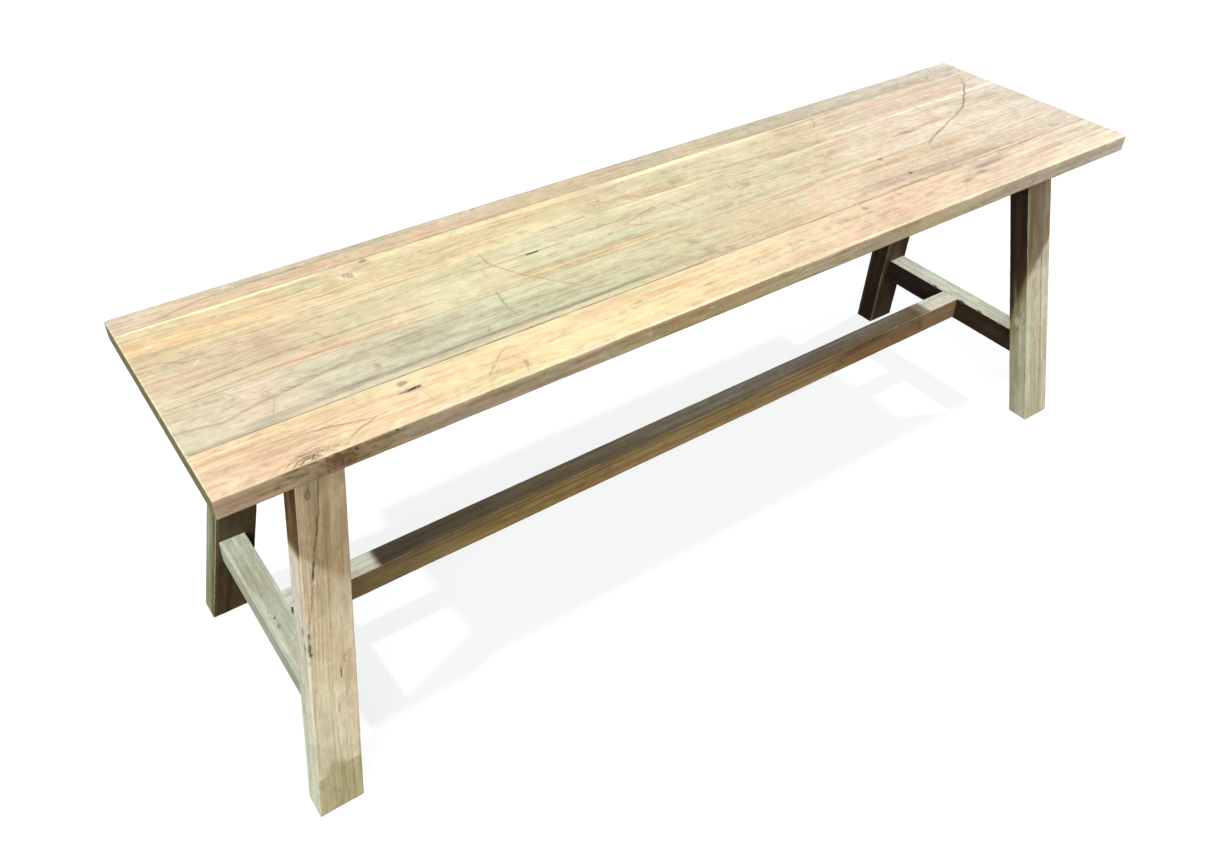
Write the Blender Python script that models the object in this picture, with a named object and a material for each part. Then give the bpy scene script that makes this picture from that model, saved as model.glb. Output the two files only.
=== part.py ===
"""Backless bench: a five-plank seat on two splayed end frames that a long stretcher ties together.

Metres, +Z up.  The origin is on the floor under the middle of the seat, +X runs along the seat and
-Y is the front.  Every piece is a closed solid of its own, and neighbours keep a hairline gap.
"""

import math

import bmesh
import bpy
from mathutils import Matrix

GAP = 0.0003            # hairline between pieces that touch
ARRIS = 0.0012          # small chamfer along the edges of every wooden piece
OVERRUN = 0.004         # how far a cutter runs past the face it enters
SHARP_ANGLE = 40        # degrees; edges that turn more are chamfered on wood and stay sharp on round pieces

# Seat
SEAT_LENGTH = 1.250
SEAT_HEIGHT = 0.450
PLANK_THICKNESS = 0.0215
PLANK_WIDTHS = (0.033, 0.066, 0.077, 0.072, 0.065)      # from the back edge to the front edge
SEAT_WIDTH = sum(PLANK_WIDTHS)
UNDERSIDE = SEAT_HEIGHT - PLANK_THICKNESS

# Legs: a flat rectangle in plan, splayed both ways, with their outer faces placed at two heights
LEG_SIZE_X = 0.0495
LEG_SIZE_Y = 0.0305
LEG_TOP_X = 0.5405      # outer faces at the underside of the seat
LEG_TOP_Y = 0.1075
LEG_FOOT_X = 0.6085     # outer faces at the floor
LEG_FOOT_Y = 0.1785
SPLAY_X = (LEG_FOOT_X - LEG_TOP_X) / UNDERSIDE
SPLAY_Y = (LEG_FOOT_Y - LEG_TOP_Y) / UNDERSIDE

# Bearers that join each pair of legs under the seat, and the batten half way between them
BEARER_THICKNESS = 0.025
BEARER_OUTER_X = 0.548
BEARER_WIDTH = 0.093
BEARER_HALF_LENGTH = 0.140
BEARER_END_CHAMFER = 0.013
BATTEN_THICKNESS = 0.020
BATTEN_WIDTH = 0.045
BATTEN_HALF_LENGTH = 0.125
BATTEN_END_CHAMFER = 0.010

# Stretchers: the long one is let into the two cross ones, with their tops level
STRETCHER_TOP = 0.138
CROSS_OUTER_X = 0.582
CROSS_WIDTH = 0.031
CROSS_HEIGHT = 0.035
LONG_WIDTH = 0.029
LONG_HEIGHT = 0.0335

# Stub tenons
LEG_TENON_INSET_X = 0.009
LEG_TENON_INSET_Y = 0.006
LEG_TENON_LENGTH = 0.019
CROSS_TENON_SHOULDER = 0.007
CROSS_TENON_DEPTH = 0.018
LONG_TENON_SHOULDER = 0.007
LONG_TENON_DEPTH = 0.016

# Dowels in the seams between the planks
DOWEL_RADIUS = 0.004
DOWEL_REACH = 0.019     # into the plank on either side of the seam
DOWEL_PLACES_X = (-0.58, -0.35, -0.12, 0.12, 0.35, 0.58)
DOWEL_SIDES = 12

# Countersunk square-drive wood screws, up through the bearers and the batten into the planks
SCREW_HEAD_RADIUS = 0.0042
SCREW_HEAD_HEIGHT = 0.0027
SCREW_SHANK_RADIUS = 0.0021
SCREW_TIP_LENGTH = 0.004
SCREW_BITE = 0.012      # length inside the plank
SCREW_SIDES = 12
SCREW_DRIVE_WIDTH = 0.0028
SCREW_DRIVE_DEPTH = 0.0022
SCREW_PLACES_Y = (0.088, 0.0165, -0.058, -0.110)        # one in each plank but the narrow back one
BEARER_SCREW_X = 0.472

SIDES_X = (("left", -1), ("right", 1))
SIDES_Y = (("front", -1), ("back", 1))

PALE_TEAK = (0.56, 0.43, 0.28)
GREY_TEAK = (0.33, 0.26, 0.17)
BEECH = (0.58, 0.42, 0.26)
STEEL = (0.62, 0.60, 0.56)


def clear_scene():
    for obj in list(bpy.data.objects):
        bpy.data.objects.remove(obj, do_unlink=True)


def make_material(name, colour, roughness, metallic=0.0):
    material = bpy.data.materials.new(name)
    material.use_nodes = True
    shader = material.node_tree.nodes["Principled BSDF"]
    shader.inputs["Base Color"].default_value = (*colour, 1.0)
    shader.inputs["Roughness"].default_value = roughness
    shader.inputs["Metallic"].default_value = metallic
    return material


def link_mesh(name, bm):
    mesh = bpy.data.meshes.new(name)
    bm.to_mesh(mesh)
    bm.free()
    obj = bpy.data.objects.new(name, mesh)
    bpy.context.scene.collection.objects.link(obj)
    return obj


def make_part(name, bm, colour, roughness=0.7, metallic=0.0):
    obj = link_mesh(name, bm)
    obj.data.materials.append(make_material(name + "_material", colour, roughness, metallic))
    return obj


def make_tool(name, bm):
    """A helper solid that only serves in a Boolean."""
    obj = link_mesh(name, bm)
    obj.hide_render = True
    obj.display_type = 'WIRE'
    return obj


def shade_round(obj):
    obj.data.shade_smooth()
    obj.data.set_sharp_from_angle(angle=math.radians(SHARP_ANGLE))


def chamfer_edges(obj):
    modifier = obj.modifiers.new("arris", 'BEVEL')
    modifier.width = ARRIS
    modifier.segments = 1
    modifier.limit_method = 'ANGLE'
    modifier.angle_limit = math.radians(SHARP_ANGLE)


def combine(target, tool, operation):
    modifier = target.modifiers.new(tool.name, 'BOOLEAN')
    modifier.operation = operation
    modifier.solver = 'EXACT'
    modifier.object = tool


def add_box(bm, low, high):
    """Add a box between two corners and return its vertices."""
    size = [b - a for a, b in zip(low, high)]
    middle = [(a + b) / 2 for a, b in zip(low, high)]
    matrix = Matrix.Translation(middle) @ Matrix.Diagonal((*size, 1.0))
    return bmesh.ops.create_cube(bm, size=1.0, matrix=matrix)["verts"]


def box_mesh(low, high):
    bm = bmesh.new()
    add_box(bm, low, high)
    return bm


def leg_outer(z):
    """Distances of a leg's outer faces from the bench's middle planes, at height z."""
    drop = UNDERSIDE - z
    return LEG_TOP_X + drop * SPLAY_X, LEG_TOP_Y + drop * SPLAY_Y


def leg_block(side_x, side_y, inset_x, inset_y, bottom, top):
    """A block that leans with the leg, inset from the leg's faces."""
    half_x = LEG_SIZE_X / 2 - inset_x
    half_y = LEG_SIZE_Y / 2 - inset_y
    bm = box_mesh((-half_x, -half_y, bottom), (half_x, half_y, top))
    for vert in bm.verts:
        outer_x, outer_y = leg_outer(vert.co.z)
        vert.co.x += side_x * (outer_x - LEG_SIZE_X / 2)
        vert.co.y += side_y * (outer_y - LEG_SIZE_Y / 2)
    return bm


def leg_tenon(side_x, side_y, clearance):
    shoulder = UNDERSIDE - 2 * GAP - BEARER_THICKNESS
    return leg_block(side_x, side_y, LEG_TENON_INSET_X - clearance, LEG_TENON_INSET_Y - clearance,
                     shoulder - OVERRUN, shoulder + LEG_TENON_LENGTH + clearance)


def make_leg(name, side_x, side_y, mortise_cutter):
    shoulder = UNDERSIDE - 2 * GAP - BEARER_THICKNESS
    leg = make_part(name, leg_block(side_x, side_y, 0.0, 0.0, 0.0, shoulder), GREY_TEAK)
    chamfer_edges(leg)
    combine(leg, make_tool(name + "_tenon", leg_tenon(side_x, side_y, 0.0)), 'UNION')
    combine(leg, mortise_cutter, 'DIFFERENCE')


def cross_tenon(side_x, clearance):
    """One bar through the whole cross stretcher, whose two ends are its tenons."""
    middle_x = side_x * (CROSS_OUTER_X - CROSS_WIDTH / 2)
    half_x = CROSS_WIDTH / 2 - CROSS_TENON_SHOULDER + clearance
    middle_z = STRETCHER_TOP - CROSS_HEIGHT / 2
    half_z = CROSS_HEIGHT / 2 - CROSS_TENON_SHOULDER + clearance
    reach = leg_outer(middle_z)[1] - LEG_SIZE_Y + CROSS_TENON_DEPTH + clearance
    return box_mesh((middle_x - half_x, -reach, middle_z - half_z),
                    (middle_x + half_x, reach, middle_z + half_z))


def make_cross_stretcher(name, side_x, mortise_cutter):
    """The bar between a pair of legs: its ends are cut to the slope of the legs' inner faces."""
    middle_x = side_x * (CROSS_OUTER_X - CROSS_WIDTH / 2)
    bm = box_mesh((middle_x - CROSS_WIDTH / 2, -1.0, STRETCHER_TOP - CROSS_HEIGHT),
                  (middle_x + CROSS_WIDTH / 2, 1.0, STRETCHER_TOP))
    for vert in bm.verts:
        reach = leg_outer(vert.co.z)[1] - LEG_SIZE_Y - GAP
        vert.co.y = math.copysign(reach, vert.co.y)
    stretcher = make_part(name, bm, GREY_TEAK)
    chamfer_edges(stretcher)
    combine(stretcher, make_tool(name + "_tenons", cross_tenon(side_x, 0.0)), 'UNION')
    combine(stretcher, mortise_cutter, 'DIFFERENCE')


def long_tenon(clearance):
    """One bar through the whole long stretcher, whose two ends are its tenons."""
    reach = CROSS_OUTER_X - CROSS_WIDTH + LONG_TENON_DEPTH + clearance
    half_y = LONG_WIDTH / 2 - LONG_TENON_SHOULDER + clearance
    middle_z = STRETCHER_TOP - LONG_HEIGHT / 2
    half_z = LONG_HEIGHT / 2 - LONG_TENON_SHOULDER + clearance
    return box_mesh((-reach, -half_y, middle_z - half_z), (reach, half_y, middle_z + half_z))


def make_long_stretcher():
    reach = CROSS_OUTER_X - CROSS_WIDTH - GAP
    stretcher = make_part("long_stretcher",
                          box_mesh((-reach, -LONG_WIDTH / 2, STRETCHER_TOP - LONG_HEIGHT),
                                   (reach, LONG_WIDTH / 2, STRETCHER_TOP)), GREY_TEAK)
    chamfer_edges(stretcher)
    combine(stretcher, make_tool("long_stretcher_tenons", long_tenon(0.0)), 'UNION')


def make_rail(name, middle_x, width, half_length, thickness, end_chamfer):
    """A flat bar under the seat, across the planks, with the lower corners of its ends cut off."""
    top = UNDERSIDE - GAP
    bm = box_mesh((middle_x - width / 2, -half_length, top - thickness),
                  (middle_x + width / 2, half_length, top))
    end_edges = [edge for edge in bm.edges
                 if all(vert.co.z < top - thickness / 2 for vert in edge.verts)
                 and edge.verts[0].co.y * edge.verts[1].co.y > 0]
    bmesh.ops.bevel(bm, geom=end_edges, offset=end_chamfer, offset_type='OFFSET', segments=1,
                    profile=0.5, affect='EDGES', material=-1)
    rail = make_part(name, bm, PALE_TEAK)
    chamfer_edges(rail)
    return rail


def screw_outline(thickness, clearance):
    """Radius and height of a screw's turned outline, from its head's rim to its tip."""
    bottom = UNDERSIDE - GAP - thickness
    head = SCREW_HEAD_RADIUS + clearance
    shank = SCREW_SHANK_RADIUS + clearance
    tip = UNDERSIDE + SCREW_BITE + clearance
    outline = [(head, bottom + GAP), (shank, bottom + GAP + SCREW_HEAD_HEIGHT),
               (shank, tip - SCREW_TIP_LENGTH), (0.0, tip)]
    if clearance:
        outline.insert(0, (head, bottom - OVERRUN))
    return [(0.0, outline[0][1])] + outline


def add_screw(bm, x, y, thickness, clearance):
    """Turn a screw's outline about the upright axis through (x, y)."""
    outline = screw_outline(thickness, clearance)
    verts = [bm.verts.new((x + radius, y, z)) for radius, z in outline]
    edges = [bm.edges.new(pair) for pair in zip(verts, verts[1:])]
    bmesh.ops.spin(bm, geom=verts + edges, cent=(x, y, 0.0), axis=(0.0, 0.0, 1.0),
                   angle=2 * math.pi, steps=SCREW_SIDES, use_merge=True)
    bmesh.ops.remove_doubles(bm, verts=bm.verts, dist=GAP / 10)
    bmesh.ops.recalc_face_normals(bm, faces=bm.faces)


def make_screw(name, x, y, thickness):
    bm = bmesh.new()
    add_screw(bm, x, y, thickness, 0.0)
    screw = make_part(name, bm, STEEL, roughness=0.35, metallic=1.0)
    shade_round(screw)
    face = UNDERSIDE - thickness
    half = SCREW_DRIVE_WIDTH / 2
    socket = box_mesh((x - half, y - half, face - OVERRUN), (x + half, y + half, face + SCREW_DRIVE_DEPTH))
    combine(screw, make_tool(name + "_socket", socket), 'DIFFERENCE')


def make_screws(name, x, thickness):
    """The row of screws in one rail; returns the cutter for the holes that hold them."""
    holes = bmesh.new()
    for number, y in enumerate(SCREW_PLACES_Y, start=1):
        make_screw(f"{name}_{number}", x, y, thickness)
        add_screw(holes, x, y, thickness, GAP)
    return make_tool(name + "_holes", holes)


def add_dowel(bm, x, seam_y, clearance):
    """A round bar across a seam, in the middle of the planks' thickness."""
    place = Matrix.Translation((x, seam_y, SEAT_HEIGHT - PLANK_THICKNESS / 2))
    bmesh.ops.create_cone(bm, cap_ends=True, cap_tris=False, segments=DOWEL_SIDES,
                          radius1=DOWEL_RADIUS + clearance, radius2=DOWEL_RADIUS + clearance,
                          depth=2 * (DOWEL_REACH + clearance),
                          matrix=place @ Matrix.Rotation(math.pi / 2, 4, 'X'))


def make_dowels(name, seam_y):
    """The row of dowels in one seam; returns the cutter for their holes."""
    holes = bmesh.new()
    for number, x in enumerate(DOWEL_PLACES_X, start=1):
        bm = bmesh.new()
        add_dowel(bm, x, seam_y, 0.0)
        shade_round(make_part(f"{name}_{number}", bm, BEECH))
        add_dowel(holes, x, seam_y, GAP)
    return make_tool(name + "_holes", holes)


def make_plank(name, back_y, front_y, cutters):
    plank = make_part(name, box_mesh((-SEAT_LENGTH / 2, front_y, UNDERSIDE),
                                     (SEAT_LENGTH / 2, back_y, SEAT_HEIGHT)), PALE_TEAK, roughness=0.6)
    chamfer_edges(plank)
    for cutter in cutters:
        combine(plank, cutter, 'DIFFERENCE')


def make_seat(screw_cutters):
    edges_y = [SEAT_WIDTH / 2 - sum(PLANK_WIDTHS[:count]) for count in range(len(PLANK_WIDTHS) + 1)]
    seams_y = edges_y[1:-1]
    dowel_cutters = [make_dowels(f"edge_dowel_{number}", y) for number, y in enumerate(seams_y, start=1)]
    last = len(PLANK_WIDTHS) - 1
    for index, (back_y, front_y) in enumerate(zip(edges_y, edges_y[1:])):
        cutters = dowel_cutters[max(index - 1, 0):index + 1]
        if any(front_y < y < back_y for y in SCREW_PLACES_Y):
            cutters += screw_cutters
        make_plank(f"seat_plank_{index + 1}", back_y - (GAP / 2 if index > 0 else 0.0),
                   front_y + (GAP / 2 if index < last else 0.0), cutters)


def make_end_frame(side_name, side_x, long_cutter):
    """Two legs, their cross stretcher and the bearer over them; returns the screw-hole cutter."""
    cross_cutter = make_tool(f"cross_mortises_{side_name}", cross_tenon(side_x, GAP))
    bearer = make_rail(f"seat_bearer_{side_name}", side_x * (BEARER_OUTER_X - BEARER_WIDTH / 2),
                       BEARER_WIDTH, BEARER_HALF_LENGTH, BEARER_THICKNESS, BEARER_END_CHAMFER)
    for end_name, side_y in SIDES_Y:
        make_leg(f"leg_{end_name}_{side_name}", side_x, side_y, cross_cutter)
        mortise = make_tool(f"leg_mortise_{end_name}_{side_name}", leg_tenon(side_x, side_y, GAP))
        combine(bearer, mortise, 'DIFFERENCE')
    make_cross_stretcher(f"cross_stretcher_{side_name}", side_x, long_cutter)
    screw_cutter = make_screws(f"bearer_screw_{side_name}", side_x * BEARER_SCREW_X, BEARER_THICKNESS)
    combine(bearer, screw_cutter, 'DIFFERENCE')
    return screw_cutter


def make_batten():
    """The rail half way along the seat; returns the screw-hole cutter."""
    batten = make_rail("seat_batten", 0.0, BATTEN_WIDTH, BATTEN_HALF_LENGTH, BATTEN_THICKNESS,
                       BATTEN_END_CHAMFER)
    screw_cutter = make_screws("batten_screw", 0.0, BATTEN_THICKNESS)
    combine(batten, screw_cutter, 'DIFFERENCE')
    return screw_cutter


def main():
    clear_scene()
    long_cutter = make_tool("long_mortises", long_tenon(GAP))
    screw_cutters = [make_end_frame(name, side, long_cutter) for name, side in SIDES_X]
    screw_cutters.append(make_batten())
    make_long_stretcher()
    make_seat(screw_cutters)


main()
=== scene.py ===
import math

import bmesh
import bpy
import numpy as np
from mathutils import Matrix, Vector


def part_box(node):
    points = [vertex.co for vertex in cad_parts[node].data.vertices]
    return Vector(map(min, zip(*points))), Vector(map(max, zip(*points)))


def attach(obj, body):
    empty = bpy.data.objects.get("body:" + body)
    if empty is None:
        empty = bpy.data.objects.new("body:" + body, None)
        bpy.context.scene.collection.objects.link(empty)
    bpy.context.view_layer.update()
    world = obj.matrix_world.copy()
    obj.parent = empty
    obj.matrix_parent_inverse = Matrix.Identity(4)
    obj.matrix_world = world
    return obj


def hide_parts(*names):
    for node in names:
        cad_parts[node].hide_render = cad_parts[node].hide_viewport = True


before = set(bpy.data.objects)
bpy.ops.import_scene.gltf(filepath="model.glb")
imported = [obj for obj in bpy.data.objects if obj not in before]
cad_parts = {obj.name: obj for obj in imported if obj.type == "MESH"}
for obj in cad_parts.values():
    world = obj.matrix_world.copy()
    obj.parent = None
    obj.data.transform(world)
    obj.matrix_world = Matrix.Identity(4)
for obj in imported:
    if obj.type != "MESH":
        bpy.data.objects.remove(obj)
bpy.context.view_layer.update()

mm = 0.001
skin = 0.3 * mm     # a vertex this close to a face of its board counts as on it
woodShare = 0.83    # the colours listed below are of brightly lit wood; this share of them is its own
seatLow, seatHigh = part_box("seat_plank_5")[0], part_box("seat_plank_1")[1]
seatLong = round((seatHigh.x - seatLow.x) / mm)
seatWide = round((seatHigh.y - seatLow.y) / mm)
print("frame loaded:", len(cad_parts), "nodes")


def linear(hexColour):
    channels = [int(hexColour[i:i + 2], 16) / 255 for i in (1, 3, 5)]
    return [c / 12.92 if c <= 0.04045 else ((c + 0.055) / 1.055) ** 2.4 for c in channels]


def newMaterial(name):
    material = bpy.data.materials.new(name)
    material.use_nodes = True
    material.node_tree.nodes.clear()
    return material, material.node_tree


def addNode(tree, kind, feeds=(), stops=(), **settings):
    # a setting that names an input sets that input, and any other sets the node itself; feeds give an
    # input, by its name or number, a node's output or a fixed value; stops are a colour ramp's two ends
    node = tree.nodes.new(kind)
    for key, value in settings.items():
        if key in node.inputs:
            node.inputs[key].default_value = value
        else:
            setattr(node, key, value)
    for source, inputKey in feeds:
        if isinstance(source, bpy.types.NodeSocket):
            tree.links.new(source, node.inputs[inputKey])
        else:
            node.inputs[inputKey].default_value = source
    for index, (position, hexColour) in enumerate(stops):
        node.color_ramp.elements[index].position = position
        node.color_ramp.elements[index].color = (*linear(hexColour), 1)
    return node


def addObject(name, data):
    thing = bpy.data.objects.new(name, data)
    bpy.context.scene.collection.objects.link(thing)
    return thing


def softStep(low, high, value):
    t = np.clip((value - low) / (high - low), 0.0, 1.0)
    return t * t * (3 - 2 * t)


def softNoise(u, v, seed):
    # a smooth random field from 0 to 1, with about one blob to each unit
    grid = np.random.default_rng(seed).random((64, 64))
    i = np.floor(u).astype(int)
    j = np.floor(v).astype(int)
    fu = (u - i) ** 2 * (3 - 2 * (u - i))
    fv = (v - j) ** 2 * (3 - 2 * (v - j))
    near = grid[i % 64, j % 64] * (1 - fv) + grid[i % 64, (j + 1) % 64] * fv
    far = grid[(i + 1) % 64, j % 64] * (1 - fv) + grid[(i + 1) % 64, (j + 1) % 64] * fv
    return near * (1 - fu) + far * fu


def lineDistance(x, y, points):
    # distance from each place to a run of straight stretches, and how far along the run it is
    best = np.full(x.shape, 9.0)
    along = np.zeros(x.shape)
    pairs = list(zip(points, points[1:]))
    for index, ((ax, ay), (bx, by)) in enumerate(pairs):
        dx, dy = bx - ax, by - ay
        t = np.clip(((x - ax) * dx + (y - ay) * dy) / (dx * dx + dy * dy), 0.0, 1.0)
        gap = np.hypot(x - ax - t * dx, y - ay - t * dy)
        closer = gap < best
        best = np.where(closer, gap, best)
        along = np.where(closer, (index + t) / len(pairs), along)
    return best, along


def gridBox(size, step):
    # a box cut into a fine grid, with extra lines close to its arrises; corner at 0, metres
    nearArris = [0.0, 0.45 * mm, 1.1 * mm, 2.2 * mm]
    bm = bmesh.new()
    bmesh.ops.create_cube(bm, size=1.0)
    stations = []
    for axis in range(3):
        middle = max(2, round((size[axis] - 2 * nearArris[-1]) / step[axis]))
        inner = list(np.linspace(nearArris[-1], size[axis] - nearArris[-1], middle + 1)[1:-1])
        stations.append(np.array(nearArris + inner + [size[axis] - s for s in reversed(nearArris)]))
        edges = [e for e in bm.edges if abs(e.verts[0].co[axis] - e.verts[1].co[axis]) > 0.5]
        bmesh.ops.subdivide_edges(bm, edges=edges, cuts=len(stations[axis]) - 2)
    return bm, stations


def boardMesh(name, size, step):
    bm, stations = gridBox(size, step)
    mesh = bpy.data.meshes.new(name)
    bm.to_mesh(mesh)
    bm.free()
    unit = np.zeros(len(mesh.vertices) * 3, np.float32)
    mesh.vertices.foreach_get("co", unit)
    unit = unit.reshape(-1, 3).astype(float) + 0.5
    place = np.empty_like(unit)
    for axis, lines in enumerate(stations):
        place[:, axis] = np.interp(unit[:, axis], np.linspace(0, 1, len(lines)), lines)
    return mesh, place


def easeArris(place, size, radius):
    # rounds every arris to the radius given at each vertex; returns the new places and how far each moved
    inner = np.clip(place, radius[:, None], np.array(size) - radius[:, None])
    out = place - inner
    reach = np.linalg.norm(out, axis=1)
    eased = inner + out * (radius / np.maximum(reach, 1e-9))[:, None]
    return eased, np.linalg.norm(eased - place, axis=1)


def storeBoard(name, mesh, world, flow, colour, material, node):
    mesh.vertices.foreach_set("co", world.astype(np.float32).ravel())
    flowLayer = mesh.attributes.new("flow", 'FLOAT_VECTOR', 'POINT')
    flowLayer.data.foreach_set("vector", flow.astype(np.float32).ravel())
    paintLayer = mesh.attributes.new("paint", 'FLOAT_COLOR', 'POINT')
    rgba = np.concatenate([np.clip(colour * woodShare, 0, 1), np.ones((len(colour), 1))], axis=1)
    paintLayer.data.foreach_set("color", rgba.astype(np.float32).ravel())
    mesh.update()
    mesh.shade_smooth()
    piece = addObject(name, mesh)
    mesh.materials.append(material)
    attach(piece, "root")
    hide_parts(node)


# The teak's grain is noise on the flow attribute, which runs in metres with x along the grain. Each
# layer has its Mapping node's settings, with Scale in repeats to a metre, and then its noise's own.
grainLayers = {
    # growth lines 3 to 6 mm apart, running some 60 cm before they change
    "growth": ({"Scale": (1.6, 230.0, 230.0)}, {"Detail": 3.0, "Roughness": 0.6, "Distortion": 0.25}),
    # finer lines between them, 2 to 3 mm apart and broken every 15 cm or so
    "fine": ({"Scale": (6.5, 420.0, 420.0), "Location": (1.3, 4.1, 2.6)},
             {"Detail": 2.0, "Roughness": 0.55, "Distortion": 0.35}),
    # where those finer lines are strong
    "patch": ({"Scale": (7.0, 24.0, 24.0), "Location": (5.0, 0.7, 3.3)}, {"Detail": 2.0, "Roughness": 0.5}),
    # fibres: the real ones are 0.2 mm wide, drawn 0.8 mm wide so that they show
    "fibre": ({"Scale": (16.0, 1250.0, 1250.0)}, {"Detail": 2.0, "Roughness": 0.55}),
    # pores: short dark dashes along the grain, about 1 by 10 mm here against 0.3 by 5 mm in life
    "pore": ({"Scale": (70.0, 900.0, 900.0)}, {"Detail": 1.0, "Roughness": 0.4}),
    # sanding marks: faint strokes along the grain, 1.5 mm wide where real ones are 0.3 mm
    "sand": ({"Scale": (95.0, 640.0, 640.0), "Rotation": (0.0, 0.0, 0.95)},
             {"Detail": 3.0, "Roughness": 0.65}),
    # uneven wear: blotches 1 to 2 cm across that break up into specks under a millimetre
    "worn": ({"Scale": (46.0, 92.0, 92.0), "Location": (2.2, 7.7, 1.4)},
             {"Detail": 7.0, "Roughness": 0.7, "Distortion": 0.7}),
    # slow drift between a greyer and a warmer tone, in bands about 3 cm wide
    "drift": ({"Scale": (2.6, 34.0, 34.0), "Location": (3.7, 1.9, 0.4)},
              {"Detail": 4.0, "Roughness": 0.6, "Distortion": 0.3}),
    # stains from years of use: soft greenish and pinkish clouds, about 2 by 5 cm
    "stainAndShadow": ({"Scale": (19.0, 46.0, 46.0), "Location": (0.9, 2.3, 5.1)},
              {"Detail": 5.0, "Roughness": 0.62, "Distortion": 0.4}),
}


def makeTeak(name, look):
    # Weathered plantation teak, sanded and left bare: matt, with straight grain lines, fine open
    # pores and a faint silkiness. Low tones come from the paint attribute, and grain from noise
    # that follows the board's own flow, so it bends round knots.
    material, tree = newMaterial(name)
    paint = addNode(tree, "ShaderNodeAttribute", attribute_name="paint")
    flow = addNode(tree, "ShaderNodeAttribute", attribute_name="flow")
    noise = {}
    for layer, (mapping, grain) in grainLayers.items():
        spot = addNode(tree, "ShaderNodeMapping", [(flow.outputs["Vector"], "Vector")], **mapping)
        texture = addNode(tree, "ShaderNodeTexNoise", [(spot.outputs["Vector"], "Vector")],
                          Scale=1.0, **grain)
        noise[layer] = texture.outputs["Fac"]

    # each share is a layer cut to one range and stretched to another; the growth lines fade where the
    # wood is rubbed palest
    shares = {
        "fine": ("fine", (0.42, 0.62), (0.0, 1.0)),
        "patch": ("patch", (0.38, 0.62), (0.0, 1.0)),
        "fibre": ("fibre", (0.3, 0.7), (1.0 - look["fibre"], 1.0 + 0.4 * look["fibre"])),
        "sand": ("sand", (0.3, 0.7), (1.0 - look["sanding"], 1.0 + 0.5 * look["sanding"])),
        "worn": ("worn", (0.3, 0.7), (1.0 - look["blotch"], 1.0 + 0.8 * look["blotch"])),
        "pore": ("pore", (0.66, 0.74), (0.0, look["pore"])),
        "growth": ("worn", (0.36, 0.62), (1.5 * look["growth"], 0.15 * look["growth"])),
        "roughness": ("growth", (0.0, 1.0), (look["roughness"] + 0.1, look["roughness"] - 0.1)),
    }
    share = {}
    for key, (layer, source, target) in shares.items():
        limits = {"From Min": source[0], "From Max": source[1], "To Min": target[0], "To Max": target[1]}
        cut = addNode(tree, "ShaderNodeMapRange", [(noise[layer], "Value")], **limits)
        share[key] = cut.outputs["Result"]
    ramps = {
        "stainAndShadow": ((0.34, look["greenTint"]), (0.64, look["pinkTint"])),
        "drift": ((0.30, look["greyTint"]), (0.68, look["warmTint"])),
        "growth": ((0.36, look["lineTint"]), (0.60, "#ffffff")),
    }
    tint = {}
    for layer, stops in ramps.items():
        tint[layer] = addNode(tree, "ShaderNodeValToRGB", [(noise[layer], "Fac")], stops).outputs["Color"]

    sums = {}
    for key, operation, first, second in (("fine", 'MULTIPLY', share["fine"], share["patch"]),
                                          ("sanded", 'MULTIPLY', share["fibre"], share["sand"]),
                                          ("relief", 'SUBTRACT', noise["fibre"], share["pore"])):
        combined = addNode(tree, "ShaderNodeMath", [(first, 0), (second, 1)], operation=operation)
        sums[key] = combined.outputs["Value"]
    surface = addNode(tree, "ShaderNodeMath", [(sums["sanded"], 0), (share["worn"], 1)], operation='MULTIPLY')
    relief = addNode(tree, "ShaderNodeMath", [(sums["relief"], 0), (noise["growth"], 1)], operation='ADD')

    colour = paint.outputs["Color"]
    for amount, tone in ((look["mottle"], tint["stainAndShadow"]), (1.0, tint["drift"]),
                         (share["growth"], tint["growth"]), (sums["fine"], (*linear(look["fineTint"]), 1))):
        tinted = addNode(tree, "ShaderNodeMix", [(amount, 0), (colour, 6), (tone, 7)],
                         data_type='RGBA', blend_type='MULTIPLY')
        colour = tinted.outputs[2]
    toned = addNode(tree, "ShaderNodeVectorMath", [(colour, "Vector"), (surface.outputs["Value"], "Scale")],
                    operation='SCALE')
    pored = addNode(tree, "ShaderNodeMix", [(share["pore"], 0), (toned.outputs["Vector"], 6),
                                            ((*linear(look["poreColour"]), 1), 7)], data_type='RGBA')

    # relief: fibres and growth lines stand up to 0.15 mm proud, and pores are sunk by 0.05 mm
    bump = addNode(tree, "ShaderNodeBump", [(relief.outputs["Value"], "Height")],
                   Strength=look["bump"], Distance=0.15 * mm)
    shader = addNode(tree, "ShaderNodeBsdfPrincipled",
                     [(pored.outputs[2], "Base Color"), (share["roughness"], "Roughness"),
                      (bump.outputs["Normal"], "Normal")], IOR=1.5)
    addNode(tree, "ShaderNodeOutputMaterial", [(shader.outputs["BSDF"], "Surface")])
    return material


seatTeak = makeTeak("teak_weathered_sanded_top", {
    "lineTint": "#d3c3ae", "fineTint": "#e6ddcf", "greyTint": "#f3f3f0", "warmTint": "#fffbf6",
    "pinkTint": "#fff1ed", "greenTint": "#f0f2e6", "poreColour": "#a08a68",
    "fibre": 0.08, "sanding": 0.10, "growth": 0.48, "mottle": 0.9, "pore": 0.30, "blotch": 0.10,
    "bump": 0.45, "roughness": 0.62})
frameTeak = makeTeak("teak_weathered_planed_frame", {
    "lineTint": "#cfc0aa", "fineTint": "#e4d9c9", "greyTint": "#f4f3ed", "warmTint": "#fffaf4",
    "pinkTint": "#fff3ed", "greenTint": "#f5f6ea", "poreColour": "#75603f",
    "fibre": 0.08, "sanding": 0.10, "growth": 0.34, "mottle": 0.45, "pore": 0.34, "blotch": 0.13,
    "bump": 0.8, "roughness": 0.66})
print("teak ready")


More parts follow.
